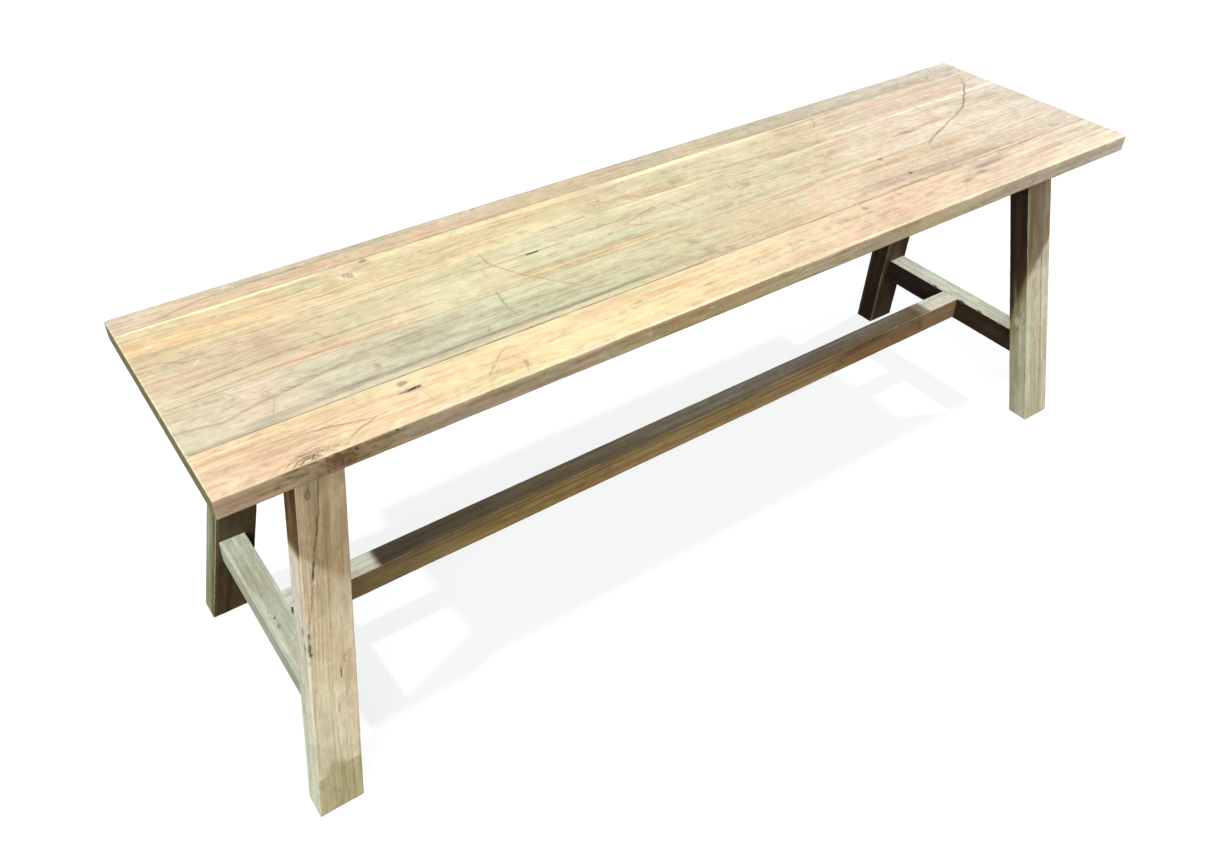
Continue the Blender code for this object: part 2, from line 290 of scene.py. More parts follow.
# Every place on the seat is in millimetres: first along the seat from its left end, then across
# it from its back edge. These marks are painted in this order, and every half is half a width:
#   tones    (place, colour) along a plank
#   streaks  ((start, end), middle, half, colour, strength)
#   patches  (along, across, half length, half width, colour, strength)
#   strokes  (points, half, colour, strength, depth): scratches, cracks and seams of dirt
seat = {
    "step": (1.7 * mm, 1.6 * mm, 2.8 * mm),
    "outerArris": 1.3 * mm,
    "seamArris": 0.45 * mm,
    "wornColour": "#fff6d8",  # what rubbing has left of the outer arrises
    "bleachColour": "#fff3cb",
    "endRim": 0.42,  # how strongly the top bleaches along its two ends
    "seamDirtColour": "#7b6a50",
    "scratchColours": {
        "pale": "#fff5de",
        "dark": "#a48e69",
    },
    "smallScratches": 60,  # on each plank
    # how far the front of the seat has bleached, at places along it
    "bleached": [(0, 0.1), (60, 0.0), (180, 0.0), (300, 0.5), (420, 1.0), (1250, 1.0)],
    # the front edge, in millimetres along it and up from its lower arris
    "frontEdge": {
        "tones": [
            (0, "#ecd1ac"), (60, "#e4c9a2"), (92, "#c8ab84"), (120, "#b99a72"), (140, "#cfb28c"),
            (188, "#e2caac"), (300, "#ecd6b6"), (375, "#f2dcba"), (470, "#e4c898"), (562, "#e1c595"),
            (690, "#efe0c2"), (800, "#ecd9b4"), (875, "#ffe8bd"), (1000, "#f7e4c4"), (1250, "#fff1db"),
        ],
        "streaks": [
            ((0, 95), 14, 1.6, "#b5946a", 0.6), ((0, 80), 7, 1.4, "#c29f72", 0.6),
            ((150, 420), 6, 2.2, "#b8976b", 0.5), ((200, 560), 15, 2.0, "#c7a97c", 0.5),
            ((420, 800), 5, 3, "#dccba0", 0.5), ((560, 760), 16, 2, "#c9b18a", 0.5),
            ((700, 980), 9, 2.4, "#dcc8a8", 0.5), ((820, 1030), 12, 3, "#fff0c6", 0.5),
            ((930, 1120), 7, 2.2, "#c9bbb2", 0.6), ((1000, 1250), 13, 2.5, "#e3d3bf", 0.5),
        ],
        "patches": [
            (113, 12, 20, 9, "#a07c54", 0.6), (108, 14, 7, 4, "#73552f", 0.6),
            (118, 7, 10, 4, "#86643f", 0.5), (150, 12, 16, 8, "#b99a70", 0.5),
            (447, 12, 4, 2, "#fff2cf", 0.8), (462, 9, 14, 6, "#d6c68e", 0.5),
            (527, 13, 2.4, 1.6, "#fff0d2", 0.9), (664, 14, 6, 1.6, "#fff6e0", 0.8),
            (652, 16, 3, 1.6, "#fff6e0", 0.7), (822, 12, 3, 1.5, "#b79a70", 0.7),
            (166, 19.5, 1.5, 1, "#4d3c26", 1.0),
        ],
        "strokes": [
            ([(52, 10), (66, 14), (80, 16), (94, 14), (101, 9), (98, 4), (88, 1)],
             0.6, "#86653f", 0.8, 0.2),
            ([(44, 6), (64, 10), (80, 11), (90, 8), (91, 4)], 0.5, "#93714a", 0.7, 0.1),
            ([(60, 19), (80, 20), (97, 18), (107, 12), (106, 6), (98, 1)], 0.6, "#7a5935", 0.8, 0.25),
            ([(96, 20.5), (106, 17), (113, 11), (112, 4)], 0.5, "#6b4b2a", 0.85, 0.3),
            ([(106, 20), (114, 18), (122, 19), (128, 16), (121, 13), (114, 14)],
             0.6, "#5f4225", 0.85, 0.35),
            ([(118, 2), (120, 8), (127, 12), (138, 12), (150, 9)], 0.6, "#7b5a36", 0.8, 0.2),
            ([(126, 20), (136, 17), (152, 16), (180, 17)], 0.5, "#8a6843", 0.7, 0.15),
            ([(128, 4), (142, 6), (165, 4), (196, 5)], 0.5, "#94724b", 0.6, 0.1),
            ([(0, 14), (24, 16), (48, 15)], 0.4, "#b08c60", 0.6, 0.0),
            ([(4, 7), (30, 9), (60, 6)], 0.4, "#b08c60", 0.6, 0.0),
            ([(150, 6), (172, 10), (196, 9)], 0.5, "#a5865a", 0.5, 0.0),
            ([(205, 16), (260, 13), (330, 15), (410, 12)], 0.6, "#ad8d61", 0.5, 0.0),
        ],
    },
    # places where the front top arris has broken away: (along, how deep, how long)
    "chips": [
        (76, 1.6, 5), (86, 3.4, 7), (97, 2.4, 6), (109, 1.8, 5), (166, 1.2, 3), (700, 1.0, 6),
        (1211, 2.6, 3.5), (1222, 1.4, 3), (934, 1.2, 4),
    ],
    "edgeColour": "#d9bd90",
    "endColour": "#a39f74",
    "underColour": "#c9ac80",
    "planks": [
        {
            "tones": [
                (0, "#dccab0"), (60, "#dfcaac"), (300, "#dac6a8"), (700, "#d2c3a5"), (950, "#ccc3ac"),
                (1100, "#d6cbba"), (1250, "#e6dccf"),
            ],
            "streaks": [
                ((30, 430), 24, 9, "#e3c3a0", 0.75), ((60, 420), 8, 5, "#cbc4a4", 0.6),
                ((430, 860), 20, 8, "#d8c5a2", 0.5), ((820, 1180), 29, 3, "#c2b69c", 0.6),
                ((560, 800), 4, 3, "#c9bba1", 0.6), ((930, 1250), 14, 7, "#d9cfbd", 0.5),
                ((1080, 1250), 23, 2, "#b8b6a4", 0.6),
            ],
            "patches": [
                (122, 6, 5, 3, "#f6e0d0", 0.8), (1178, 28, 5, 3, "#a99c7e", 0.8),
                (1150, 20, 14, 6, "#d2c7a8", 0.6),
            ],
            "strokes": [
                ([(38, 29), (70, 20), (105, 14), (150, 12.5), (195, 12), (215, 16)],
                 1.3, "#a98d68", 0.6, 0.0),
            ],
        },
        {
            "tones": [
                (0, "#efd6ae"), (150, "#ecd7ac"), (300, "#e7d6ac"), (450, "#eadbb2"), (600, "#dfd0ac"),
                (760, "#e5d6b4"), (900, "#e9d7b8"), (1100, "#e9d5c0"), (1250, "#ecddca"),
            ],
            "streaks": [
                ((0, 170), 69, 9, "#f7dba4", 0.7), ((0, 230), 56, 3, "#d9c597", 0.6),
                ((160, 230), 50, 12, "#d8cfa0", 0.6), ((270, 520), 62, 8, "#dccd9f", 0.5),
                ((330, 560), 78, 5, "#f4dfb1", 0.6), ((0, 70), 83, 2.5, "#e2bfa4", 0.6),
                ((560, 700), 56, 9, "#d4cda6", 0.5), ((560, 860), 83, 5, "#e8dab0", 0.5),
                ((930, 1210), 72, 12, "#e2c9b6", 0.65), ((880, 1180), 48, 5, "#f2d5b8", 0.6),
                ((930, 1230), 54, 1.6, "#c6ad98", 0.7), ((0, 228), 35.5, 4.2, "#fffac8", 1.0),
                ((246, 470), 39.5, 5.5, "#fff3c2", 0.95), ((440, 560), 40, 7, "#f8e4ae", 0.8),
                ((560, 870), 39, 4.6, "#fff8ca", 1.0), ((830, 940), 36, 2, "#f8e6bd", 0.6),
                ((200, 420), 97, 2, "#f6e0b0", 0.7), ((500, 720), 97.2, 3.0, "#fff6cc", 1.0),
                ((880, 1250), 94.6, 4.0, "#fffbe6", 1.0),
            ],
            "patches": [
                (237, 57, 13, 15, "#f4e0bb", 0.8), (237, 57, 5, 4, "#d6c49e", 0.7),
                (244, 60, 2.4, 6, "#fff3d8", 0.8), (229, 58, 2, 5, "#fff3d8", 0.7),
                (262, 38.5, 5.5, 3.2, "#a89c76", 0.95), (545, 74, 34, 20, "#d8c19a", 0.55),
                (569, 65, 14, 8, "#f0d6ac", 0.6), (597, 76, 12, 6, "#efd3b4", 0.6),
                (586, 80, 9, 7, "#c9b38c", 0.6), (659, 61, 22, 14, "#d0cfa6", 0.6),
                (665, 82, 14, 7, "#cfbd9c", 0.6), (720, 62, 30, 12, "#e0d2ac", 0.5),
                (553, 70, 1.6, 1.6, "#8a7050", 0.9),
            ],
            "strokes": [
                ([(172, 76), (215, 80), (255, 81)], 0.9, "#a98b66", 0.7, 0.0),
                ([(258, 85), (300, 87), (338, 88.5)], 0.8, "#9c8260", 0.7, 0.0),
                ([(447, 92), (517, 91)], 0.9, "#a08660", 0.8, 0.1),
                ([(517, 84), (517.5, 96)], 0.8, "#b49b74", 0.5, 0.0),
                ([(231, 60), (234, 52), (239, 52), (236, 61), (240, 62), (243, 53)],
                 0.8, "#a48f68", 0.7, 0.0),
                ([(933, 38), (925, 52), (917, 60)], 1.2, "#b9a78c", 0.7, 0.1),
                ([(905, 76), (880, 108), (868, 122)], 1.1, "#cbb79a", 0.6, 0.05),
            ],
        },
        {
            "tones": [
                (0, "#e5d0ae"), (60, "#e2cead"), (120, "#dec7a6"), (170, "#e5d4ae"), (320, "#e3d8b0"),
                (440, "#e0d8b3"), (620, "#e3d8b4"), (800, "#e4d7b8"), (950, "#f1dfc6"),
                (1100, "#efdfcb"), (1250, "#ebdfcc"),
            ],
            "streaks": [
                ((150, 400), 108, 5, "#f1deae", 0.6), ((120, 420), 113, 4, "#d4caa0", 0.5),
                ((310, 560), 133, 11, "#ece5bc", 0.6), ((0, 320), 163, 5, "#f1dab4", 0.6),
                ((40, 300), 168.5, 2.2, "#dcbd98", 0.55), ((300, 600), 167, 8, "#e6cfa4", 0.5),
                ((330, 620), 158, 3, "#d6bf94", 0.5), ((420, 640), 172, 3, "#f4dcae", 0.6),
                ((400, 560), 106, 3, "#cfcba4", 0.55), ((640, 800), 120, 8, "#efdcb8", 0.4),
                ((830, 1010), 121, 6, "#ead3b0", 0.5), ((820, 920), 170, 3, "#f2e1bb", 0.6),
                ((950, 1200), 108, 6, "#dad2b4", 0.5), ((1150, 1250), 148, 8, "#dfd8c2", 0.5),
            ],
            "patches": [
                (35, 115, 26, 12, "#d3c79f", 0.6), (12, 108, 12, 6, "#f3dcae", 0.6),
                (115, 125, 18, 17, "#d2b592", 0.6), (205, 133, 34, 16, "#dfd6ac", 0.5),
                (255, 124, 5, 1.2, "#b7a982", 0.8), (730, 135, 8, 6, "#b9ad84", 0.7),
                (800, 126, 18, 9, "#cbbd96", 0.6), (707, 129, 3, 2, "#b4a27c", 0.7),
                (770, 100, 8, 9, "#c9b895", 0.6), (713, 103, 9, 14, "#d4c0a0", 0.55),
                (1011, 141.5, 26, 4.0, "#b19f96", 0.85), (1072, 134, 24, 14, "#e2cbb8", 0.6),
                (1205, 124, 26, 9, "#cfcab2", 0.5), (1190, 131, 2, 2, "#c3a893", 0.8),
                (865, 139, 6, 7, "#e0bfa2", 0.7), (1222, 134, 5, 4, "#cbd0ac", 0.7),
                (519, 141, 4, 1.6, "#a99c7a", 0.7),
            ],
            "strokes": [
                ([(2, 100), (25, 102), (48, 116)], 1.1, "#a98f69", 0.65, 0.0),
                ([(6, 158), (77, 152), (130, 149), (220, 151), (286, 154)], 1.2, "#bd9f78", 0.7, 0.0),
                ([(25, 172), (105, 168), (180, 171), (280, 176)], 1.2, "#b99a72", 0.65, 0.0),
                ([(10, 148), (60, 143), (110, 139)], 1.1, "#c0a57e", 0.6, 0.0),
                ([(338, 124.6), (420, 126), (470, 126)], 0.9, "#9d8f6c", 0.75, 0.1),
                ([(417, 126), (424, 126), (432, 125.8)], 1.3, "#37353c", 1.5, 0.5),
                ([(625, 114), (585, 121), (545, 133), (562, 143), (590, 152)], 1.1, "#b9a67e", 0.75, 0.0),
                ([(600, 122), (572, 130), (566, 137), (575, 146)], 0.9, "#c6b48c", 0.6, 0.0),
                ([(619, 115), (624, 130), (631, 141)], 1.0, "#a9956f", 0.75, 0.1),
                ([(680, 130), (668, 140), (690, 152), (740, 158)], 1.0, "#c9b68f", 0.6, 0.0),
                ([(165, 135), (168, 143), (172, 152)], 0.8, "#a08c68", 0.7, 0.1),
                ([(48, 124), (58, 116)], 1.0, "#fbeed0", 0.8, 0.05),
                ([(93, 116), (97, 112), (101, 122), (108, 119), (104, 127)], 0.7, "#f8e8cb", 0.7, 0.05),
                ([(400, 163), (480, 160), (560, 164), (620, 166)], 1.1, "#c2a97e", 0.6, 0.0),
            ],
        },
        {
            "tones": [
                (0, "#e2d3b6"), (90, "#e2d2b8"), (150, "#dbd4b7"), (230, "#d4d1b3"), (320, "#d7d4b4"),
                (430, "#dad6b0"), (600, "#e0d2ad"), (700, "#e8d4b1"), (900, "#eed7b9"),
                (1100, "#ead8c0"), (1250, "#ebddcb"),
            ],
            "streaks": [
                ((90, 300), 196, 9, "#c9c6a4", 0.6), ((210, 290), 207, 12, "#c2c19f", 0.6),
                ((300, 420), 190, 7, "#dfe0bb", 0.6), ((330, 520), 226, 7, "#e0debb", 0.5),
                ((420, 640), 206, 10, "#d7cfa8", 0.5), ((30, 130), 228, 5, "#ead6b0", 0.6),
                ((110, 540), 236.5, 2.8, "#938574", 0.75), ((70, 400), 240, 3.4, "#bcb093", 0.5),
                ((40, 130), 238, 5, "#b5a88c", 0.6), ((430, 600), 236, 2.4, "#b4a688", 0.6),
                ((120, 640), 243, 2.8, "#ead4ae", 0.7), ((0, 120), 246, 3.0, "#b3ab8c", 0.6),
                ((595, 640), 206.5, 1.6, "#f2e2c0", 0.8), ((700, 840), 196, 5, "#e9cfae", 0.5),
                ((800, 1100), 231.5, 10, "#ccb8a0", 0.85), ((1060, 1250), 222, 7, "#dccdb4", 0.5),
                ((845, 1000), 245, 2.5, "#cdb89a", 0.6),
            ],
            "patches": [
                (60, 198, 30, 14, "#e1cfb4", 0.6), (89, 203, 5.5, 5.5, "#bdb393", 0.7),
                (89, 203, 3.6, 3.6, "#d3c8a8", 0.8), (215, 212, 9, 8, "#b7b793", 0.6),
                (210, 188, 9, 4, "#bfbdb0", 0.6), (415, 214, 14, 8, "#c3c3a2", 0.6),
                (591, 234, 9, 9, "#b3aa94", 0.6), (616, 240, 9, 5, "#bdb1a6", 0.7),
                (586, 205, 7, 5, "#b5a68c", 0.6), (760, 200, 22, 13, "#e6e0be", 0.7),
                (918.6, 178.5, 4.2, 4, "#9a9076", 0.95), (922, 227, 3.4, 3, "#7f6b6b", 0.9),
                (1058, 184, 12, 6, "#f4dcc0", 0.6), (192, 222, 3, 6, "#a59a84", 0.6),
                (952, 188, 7, 5, "#efd0b4", 0.7), (1195, 238, 10, 5, "#bcbda2", 0.6),
                (1098, 212, 14, 4, "#cfc2a8", 0.6),
            ],
            "strokes": [
                ([(0, 214), (20, 216), (44, 221), (77, 212), (102, 209), (153, 201), (190, 194)],
                 1.6, "#b0a283", 0.7, 0.0),
                ([(94, 212), (81, 240)], 0.7, "#a89c7a", 0.7, 0.1),
                ([(108, 203), (114, 207), (122, 208)], 0.9, "#8f8360", 0.8, 0.1),
                ([(122, 236), (135, 240), (170, 239)], 1.2, "#9b8f7e", 0.6, 0.0),
                ([(58, 180), (64, 190), (60, 197)], 0.8, "#b5a98a", 0.6, 0.0),
                ([(1006, 212), (993, 230), (980, 248)], 0.7, "#c2ac90", 0.7, 0.05),
            ],
        },
        {
            "tones": [
                (0, "#f5d8b4"), (80, "#f6dab2"), (200, "#f9dfb4"), (320, "#fbe3b2"), (520, "#fae2b4"),
                (640, "#f4dcb6"), (780, "#f0d6b6"), (900, "#f1d7b9"), (1050, "#f0dcc2"),
                (1250, "#f6e6d0"),
            ],
            "streaks": [
                ((0, 250), 255, 6, "#fde4b6", 0.6), ((0, 130), 290, 12, "#edcbae", 0.65),
                ((0, 60), 303, 5, "#f7d6b4", 0.6), ((250, 700), 266, 5, "#f6d5a4", 0.5),
                ((280, 560), 297, 7, "#fde9b2", 0.6), ((0, 200), 265, 2.4, "#edc9a2", 0.5),
                ((560, 900), 300, 6, "#f7dcb8", 0.5), ((740, 860), 290, 10, "#ecccb2", 0.6),
                ((880, 1130), 300, 5, "#f7d6b8", 0.5), ((1040, 1250), 262, 7, "#efe0cb", 0.5),
                ((400, 640), 254, 2.6, "#e9cfa4", 0.5), ((700, 960), 252, 3, "#ecd3b2", 0.5),
            ],
            "patches": [
                (104, 279, 10, 5, "#fbead2", 0.6), (198.5, 258, 5.8, 4.2, "#a39a76", 0.95),
                (198.5, 258, 4.0, 2.8, "#b5ac86", 0.8), (201, 296, 11, 2.6, "#e6cf9f", 0.7),
                (311, 295, 3, 4, "#bba79c", 0.7), (300, 290, 22, 14, "#f2d4a6", 0.45),
                (462, 271, 6, 2.2, "#c9ac84", 0.75), (545, 285, 6, 2, "#cdb389", 0.75),
                (619, 281.5, 2.6, 1.6, "#b49a74", 0.7), (575, 266, 16, 7, "#f1dcae", 0.6),
                (690, 262, 26, 9, "#e4d2a6", 0.55), (751, 263, 22, 7, "#d8caa4", 0.65),
                (806, 260, 4.6, 3.8, "#b0a282", 0.95), (806, 260, 3.0, 2.4, "#c2b492", 0.8),
                (1030, 262, 36, 6.0, "#b8a79c", 0.8), (1016, 265, 16, 4.5, "#aa9b98", 0.6),
                (1000, 274, 13, 4, "#b5a290", 0.8), (1056, 257, 20, 3.4, "#cdbfa4", 0.6),
                (967, 280.5, 14, 3.0, "#ac9884", 0.85), (901, 276, 9, 4, "#dcc3a0", 0.6),
                (985, 263, 12, 4, "#dccba8", 0.6), (640, 268, 8, 1.4, "#c2a888", 0.7),
                (88, 309, 13, 5, "#c9a57a", 0.6), (84, 310, 4, 1.4, "#fff0d6", 0.8),
                (97, 307.5, 5, 1.0, "#fff0d6", 0.7),
            ],
            "strokes": [
                ([(158, 289), (136, 284), (114, 278), (77, 272), (46, 271)], 0.8, "#a0855c", 0.9, 0.0),
                ([(158, 289), (140, 295), (127, 302)], 0.8, "#a0855c", 0.9, 0.0),
                ([(197, 271.2), (204, 270.8), (211, 270.6)], 1.5, "#262640", 1.6, 0.6),
                ([(189, 271.6), (193, 271.4), (197, 271.2)], 0.7, "#6f5a44", 1.2, 0.3),
                ([(206, 257), (209, 275), (212, 300)], 0.6, "#d6bb90", 0.6, 0.0),
                ([(270, 297), (276, 288), (286, 281), (293, 273), (302, 266), (311, 262)],
                 0.8, "#c3ab80", 0.75, 0.05),
                ([(280, 292), (287, 287)], 0.6, "#b09a74", 0.6, 0.0),
                ([(306, 308), (311, 298), (313, 290)], 1.0, "#a89a92", 0.7, 0.1),
                ([(311, 262), (317, 270), (320, 286)], 0.8, "#cdb589", 0.6, 0.0),
                ([(276, 291), (284, 280)], 1.2, "#b29a72", 0.5, 0.0),
                ([(690, 268), (684, 262), (693, 256), (703, 258), (708, 264)], 0.9, "#d0bb92", 0.6, 0.0),
                ([(70, 312), (76, 307), (84, 304), (92, 306), (97, 311)], 0.6, "#6d5234", 0.9, 0.35),
                ([(76, 312), (82, 308), (88, 307.5), (92, 312)], 0.5, "#5d4329", 0.9, 0.4),
                ([(64, 309), (72, 304), (82, 301), (94, 302), (104, 306), (110, 312)],
                 0.6, "#8b6c49", 0.85, 0.2),
                ([(52, 310), (66, 303), (84, 298), (100, 300), (116, 307), (130, 309)],
                 0.5, "#b08d64", 0.7, 0.05),
                ([(87, 312), (90, 308), (95, 309)], 0.5, "#4d3722", 0.9, 0.4),
                ([(0, 298), (40, 297), (80, 291), (130, 292)], 0.5, "#ddb893", 0.6, 0.0),
                ([(975, 276), (992, 262)], 0.7, "#cbb394", 0.6, 0.0),
            ],
        },
    ],
    # scratches that run across more than one plank
    "scratches": [
        ([(374, 92), (373, 120), (382, 140), (391, 158), (409, 181), (420, 197), (434, 214)],
         0.9, "#a3977a", 0.75, 0.15),
        ([(360, 128), (357, 145)], 0.9, "#a89573", 0.45, 0.1),
        ([(352, 170), (349, 185), (346, 203), (347, 223)], 0.9, "#97865f", 0.75, 0.15),
        ([(1212, 66), (1207, 74), (1191, 87), (1180, 98), (1173, 101), (1160, 113), (1147, 122),
          (1141, 127), (1122, 135), (1110, 141), (1087, 148), (1064, 158), (1041, 166), (1022, 174),
          (1012, 179), (1005, 186)], 1.1, "#8a7f64", 0.9, 0.2),
        ([(1224, 56), (1211, 68), (1203, 80)], 3.2, "#bdb59c", 0.55, 0.0),
    ],
    # dirt that has settled along each seam, from the back: strength at places along it
    "seamDirt": [
        [(0, 0.25), (500, 0.15), (900, 0.3), (1250, 0.2)],
        [(0, 0.1), (430, 0.25), (700, 0.1), (1250, 0.2)],
        [(0, 0.2), (500, 0.25), (800, 0.15), (1250, 0.2)],
        [(0, 0.55), (300, 0.85), (520, 0.7), (660, 0.45), (760, 0.75), (880, 0.5), (1250, 0.3)],
    ],
}


def blendColour(colour, hexColour, mask):
    return colour + (np.array(linear(hexColour)) - colour) * mask[:, None]


def runTones(tones, x):
    places = [place for place, _ in tones]
    channels = np.array([linear(hexColour) for _, hexColour in tones])
    return np.stack([np.interp(x, places, channels[:, c]) for c in range(3)], axis=1)


def paintMarks(colour, sink, x, y, marks, length, seed):
    # x and y in millimetres on a face of that length; returns the colour and how deep it is pressed in
    wander = 3.0 * (softNoise(x / 70, y / 30, seed) - 0.5) + 1.2 * (softNoise(x / 18, y / 9, seed + 1) - 0.5)
    for number, ((start, end), middle, half, hexColour, strength) in enumerate(marks.get("streaks", ())):
        drift = wander + 0.35 * half * (softNoise(x / 60, y * 0 + number, seed + 7) - 0.5) * 2
        fade = min(60.0, (end - start) * 0.25)
        along = softStep(start - 1, start + fade, x) * (1 - softStep(end - fade, end + 1, x))
        if start <= 0:
            along = 1 - softStep(end - fade, end + 1, x)
        if end >= length:
            along = softStep(start - 1, start + fade, x)
        across = 1 - softStep(half * 0.45, half * 1.25, np.abs(y + min(1.0, half / 4) * drift - middle))
        ragged = 0.72 + 0.56 * softNoise(x / 24, y / 1.6, seed + 11 + number)
        colour = blendColour(colour, hexColour, np.clip(along * across * strength * ragged, 0, 1))
    for number, (px, py, rx, ry, hexColour, strength) in enumerate(marks.get("patches", ())):
        edge = 0.5 * (softNoise(x / (rx * 0.8), y / (ry * 0.8), seed + 31 + number) - 0.5)
        reach = np.hypot((x - px) / rx, (y - py) / ry) + edge
        soft = 0.25 if rx < 8 else 0.6
        colour = blendColour(colour, hexColour, strength * (1 - softStep(1 - soft, 1 + soft * 0.5, reach)))
    for number, (points, half, hexColour, strength, depth) in enumerate(marks.get("strokes", ())):
        gap, along = lineDistance(x, y, points)
        taper = softStep(0.0, 0.12, along) * (1 - softStep(0.88, 1.0, along)) * 0.5 + 0.5
        broken = 0.6 + 0.6 * softNoise(x / 9, y / 9, seed + 53 + number)
        mask = 1 - softStep(half * 0.5, half * 1.6, gap)
        colour = blendColour(colour, hexColour, np.clip(mask * strength * taper * broken, 0, 1))
        sink = sink + depth * mm * mask
    return colour, sink


def chipRadius(radius, near, along, up, chips):
    # deepens an arris where it has broken away, so that it is cut back there
    for where, deep, long in chips:
        bite = np.exp(-((along - where) / long) ** 2) * (0.6 + 0.8 * softNoise(along / 1.5, up, int(where)))
        radius = np.where(near, radius + deep * mm * bite, radius)
    return radius


def scratchPlank(colour, x, y, middleY, width, seed):
    random = np.random.default_rng(seed)
    for _ in range(seat["smallScratches"]):
        sx, sy = random.uniform(6, seatLong - 6), middleY + random.uniform(-0.46, 0.46) * width
        turn, long = random.uniform(-1.2, 1.2), random.uniform(2, 11)
        ex, ey = sx + long * math.cos(turn), sy + long * math.sin(turn)
        tone = "pale" if random.random() < 0.45 else "dark"
        near = (np.abs(x - sx) < 16) & (np.abs(y - sy) < 16)
        gap, _ = lineDistance(x[near], y[near], [(sx, sy), (ex, ey)])
        mask = (1 - softStep(0.3, 1.3, gap)) * random.uniform(0.15, 0.5)
        colour[near] = blendColour(colour[near], seat["scratchColours"][tone], mask)


def makePlank(index):
    marks = seat["planks"][index]
    isFront = index == len(seat["planks"]) - 1
    node = f"seat_plank_{index + 1}"
    low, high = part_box(node)
    size = tuple(high - low)
    mesh, place = boardMesh(node, size, seat["step"])
    x = place[:, 0] / mm
    y = (seatHigh.y - (low.y + place[:, 1])) / mm
    up = place[:, 2]

    # the outer arrises are rounder than those in the seams
    outerSide = (x < 3) | (x > size[0] / mm - 3)
    if index == 0:
        outerSide |= place[:, 1] > size[1] - 3 * mm
    if isFront:
        outerSide |= place[:, 1] < 3 * mm
    wear = softNoise(x / 38, y / 38 + up * 90, 100 + index) * 0.6 + softNoise(x / 7, y / 7, 120 + index) * 0.4
    radius = np.where(outerSide, seat["outerArris"], seat["seamArris"]) * (0.45 + 1.1 * wear)
    if isFront:
        nearFront = (place[:, 1] < 6 * mm) & (up > size[2] - 6 * mm)
        radius = chipRadius(radius, nearFront, x, up / mm, seat["chips"])
    eased, moved = easeArris(place, size, radius)

    # how far round the top arris a vertex is, 1 on the top itself
    top = softStep(0.35, 0.95, (up - (size[2] - 2.2 * mm)) / (2.2 * mm))
    front = place[:, 1] < skin
    back = place[:, 1] > size[1] - skin
    ends = (place[:, 0] < skin) | (place[:, 0] > size[0] - skin)
    colour = runTones(marks["tones"], x)
    colour, sink = paintMarks(colour, np.zeros(len(place)), x, y, marks, seatLong, 200 + 17 * index)
    colour, sink = paintMarks(colour, sink, x, y, {"strokes": seat["scratches"]}, seatLong, 900)
    middleY = (seatHigh.y - (low.y + high.y) / 2) / mm
    scratchPlank(colour, x, y, middleY, size[1] / mm, 60 + index)

    # the edges and the underside keep the brown that the top has lost
    if isFront:
        edge = runTones(seat["frontEdge"]["tones"], x)
        edge, edgeSink = paintMarks(edge, np.zeros(len(place)), x, up / mm, seat["frontEdge"], seatLong, 340)
        eased[:, 1] += np.where(front, edgeSink, 0.0)
    else:
        edge = np.tile(np.array(linear(seat["edgeColour"])), (len(place), 1))
    edge *= (0.90 + 0.20 * softNoise(x / 55, up / mm / 2.4, 300 + index))[:, None]
    underTone = 0.8 + 0.4 * softNoise(x / 80, y / 7, 310 + index)
    endTone = 0.75 + 0.5 * softNoise(y / 3.4, up / mm / 2.2, 320 + index)
    under = np.array(linear(seat["underColour"])) * underTone[:, None]
    end = np.array(linear(seat["endColour"])) * endTone[:, None]
    colour = np.where((up < skin)[:, None], under, colour)
    colour = np.where((front | back)[:, None] & (top < 0.5)[:, None], edge, colour)
    colour = np.where(ends[:, None] & (top < 0.5)[:, None], end, colour)

    # dirt in the seams on either side of this plank
    for seam in (index - 1, index):
        if 0 <= seam < len(seat["seamDirt"]):
            seamY = (seatHigh.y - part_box(f"seat_plank_{seam + 1}")[0].y) / mm
            strength = np.interp(x, *zip(*seat["seamDirt"][seam]))
            strength = strength * (0.6 + 0.7 * softNoise(x / 12, y * 0, 400 + seam))
            near = 1 - softStep(0.1, 1.3, np.abs(y - seamY))
            colour = blendColour(colour, seat["seamDirtColour"], np.clip(near * strength, 0, 1))

    # a wavy band along the front of the top has bleached, and a narrow rim along each end
    frontBleach = np.interp(x, *zip(*seat["bleached"]))
    if isFront:
        band = 2.0 + 7.5 * softNoise(x / 75, y * 0, 450) ** 1.5 + 2.0 * softNoise(x / 14, y * 0, 451)
        bleached = (1 - softStep(0.75, 1.2, (seatWide - y) / band)) * frontBleach
        bleached = 0.7 * bleached * top * (0.7 + 0.3 * softNoise(x / 9, y / 3, 452))
        colour = blendColour(colour, seat["bleachColour"], bleached)
    fromEnd = np.minimum(x, size[0] / mm - x)
    rim = 0.8 + 2.2 * softNoise(y / 22, x * 0, 455)
    bleached = seat["endRim"] * (1 - softStep(0.6, 1.2, fromEnd / rim)) * top
    colour = blendColour(colour, seat["bleachColour"], bleached)

    # the outer arrises are rubbed pale, less where the front hasn't bleached or has broken away
    rubbed = np.where(outerSide, softStep(0.05 * mm, 0.35 * mm, moved) * softStep(0.25, 0.6, wear), 0.0)
    rubbed *= 1 - softStep(1.7 * mm, 2.5 * mm, radius)
    if isFront:
        rubbed *= np.where(place[:, 1] < 3 * mm, frontBleach * 0.75 + 0.25, 1.0)
    colour = blendColour(colour, seat["wornColour"], 0.9 * rubbed * softStep(0.5, 0.9, up / size[2]))

    # the seat's face isn't dead flat
    dish = 0.18 * mm * (softNoise(x / 120, y / 25, 500 + index) - 0.5)
    eased[:, 2] += top * (dish - sink)
    eased[:, 2] = np.minimum(eased[:, 2], size[2])

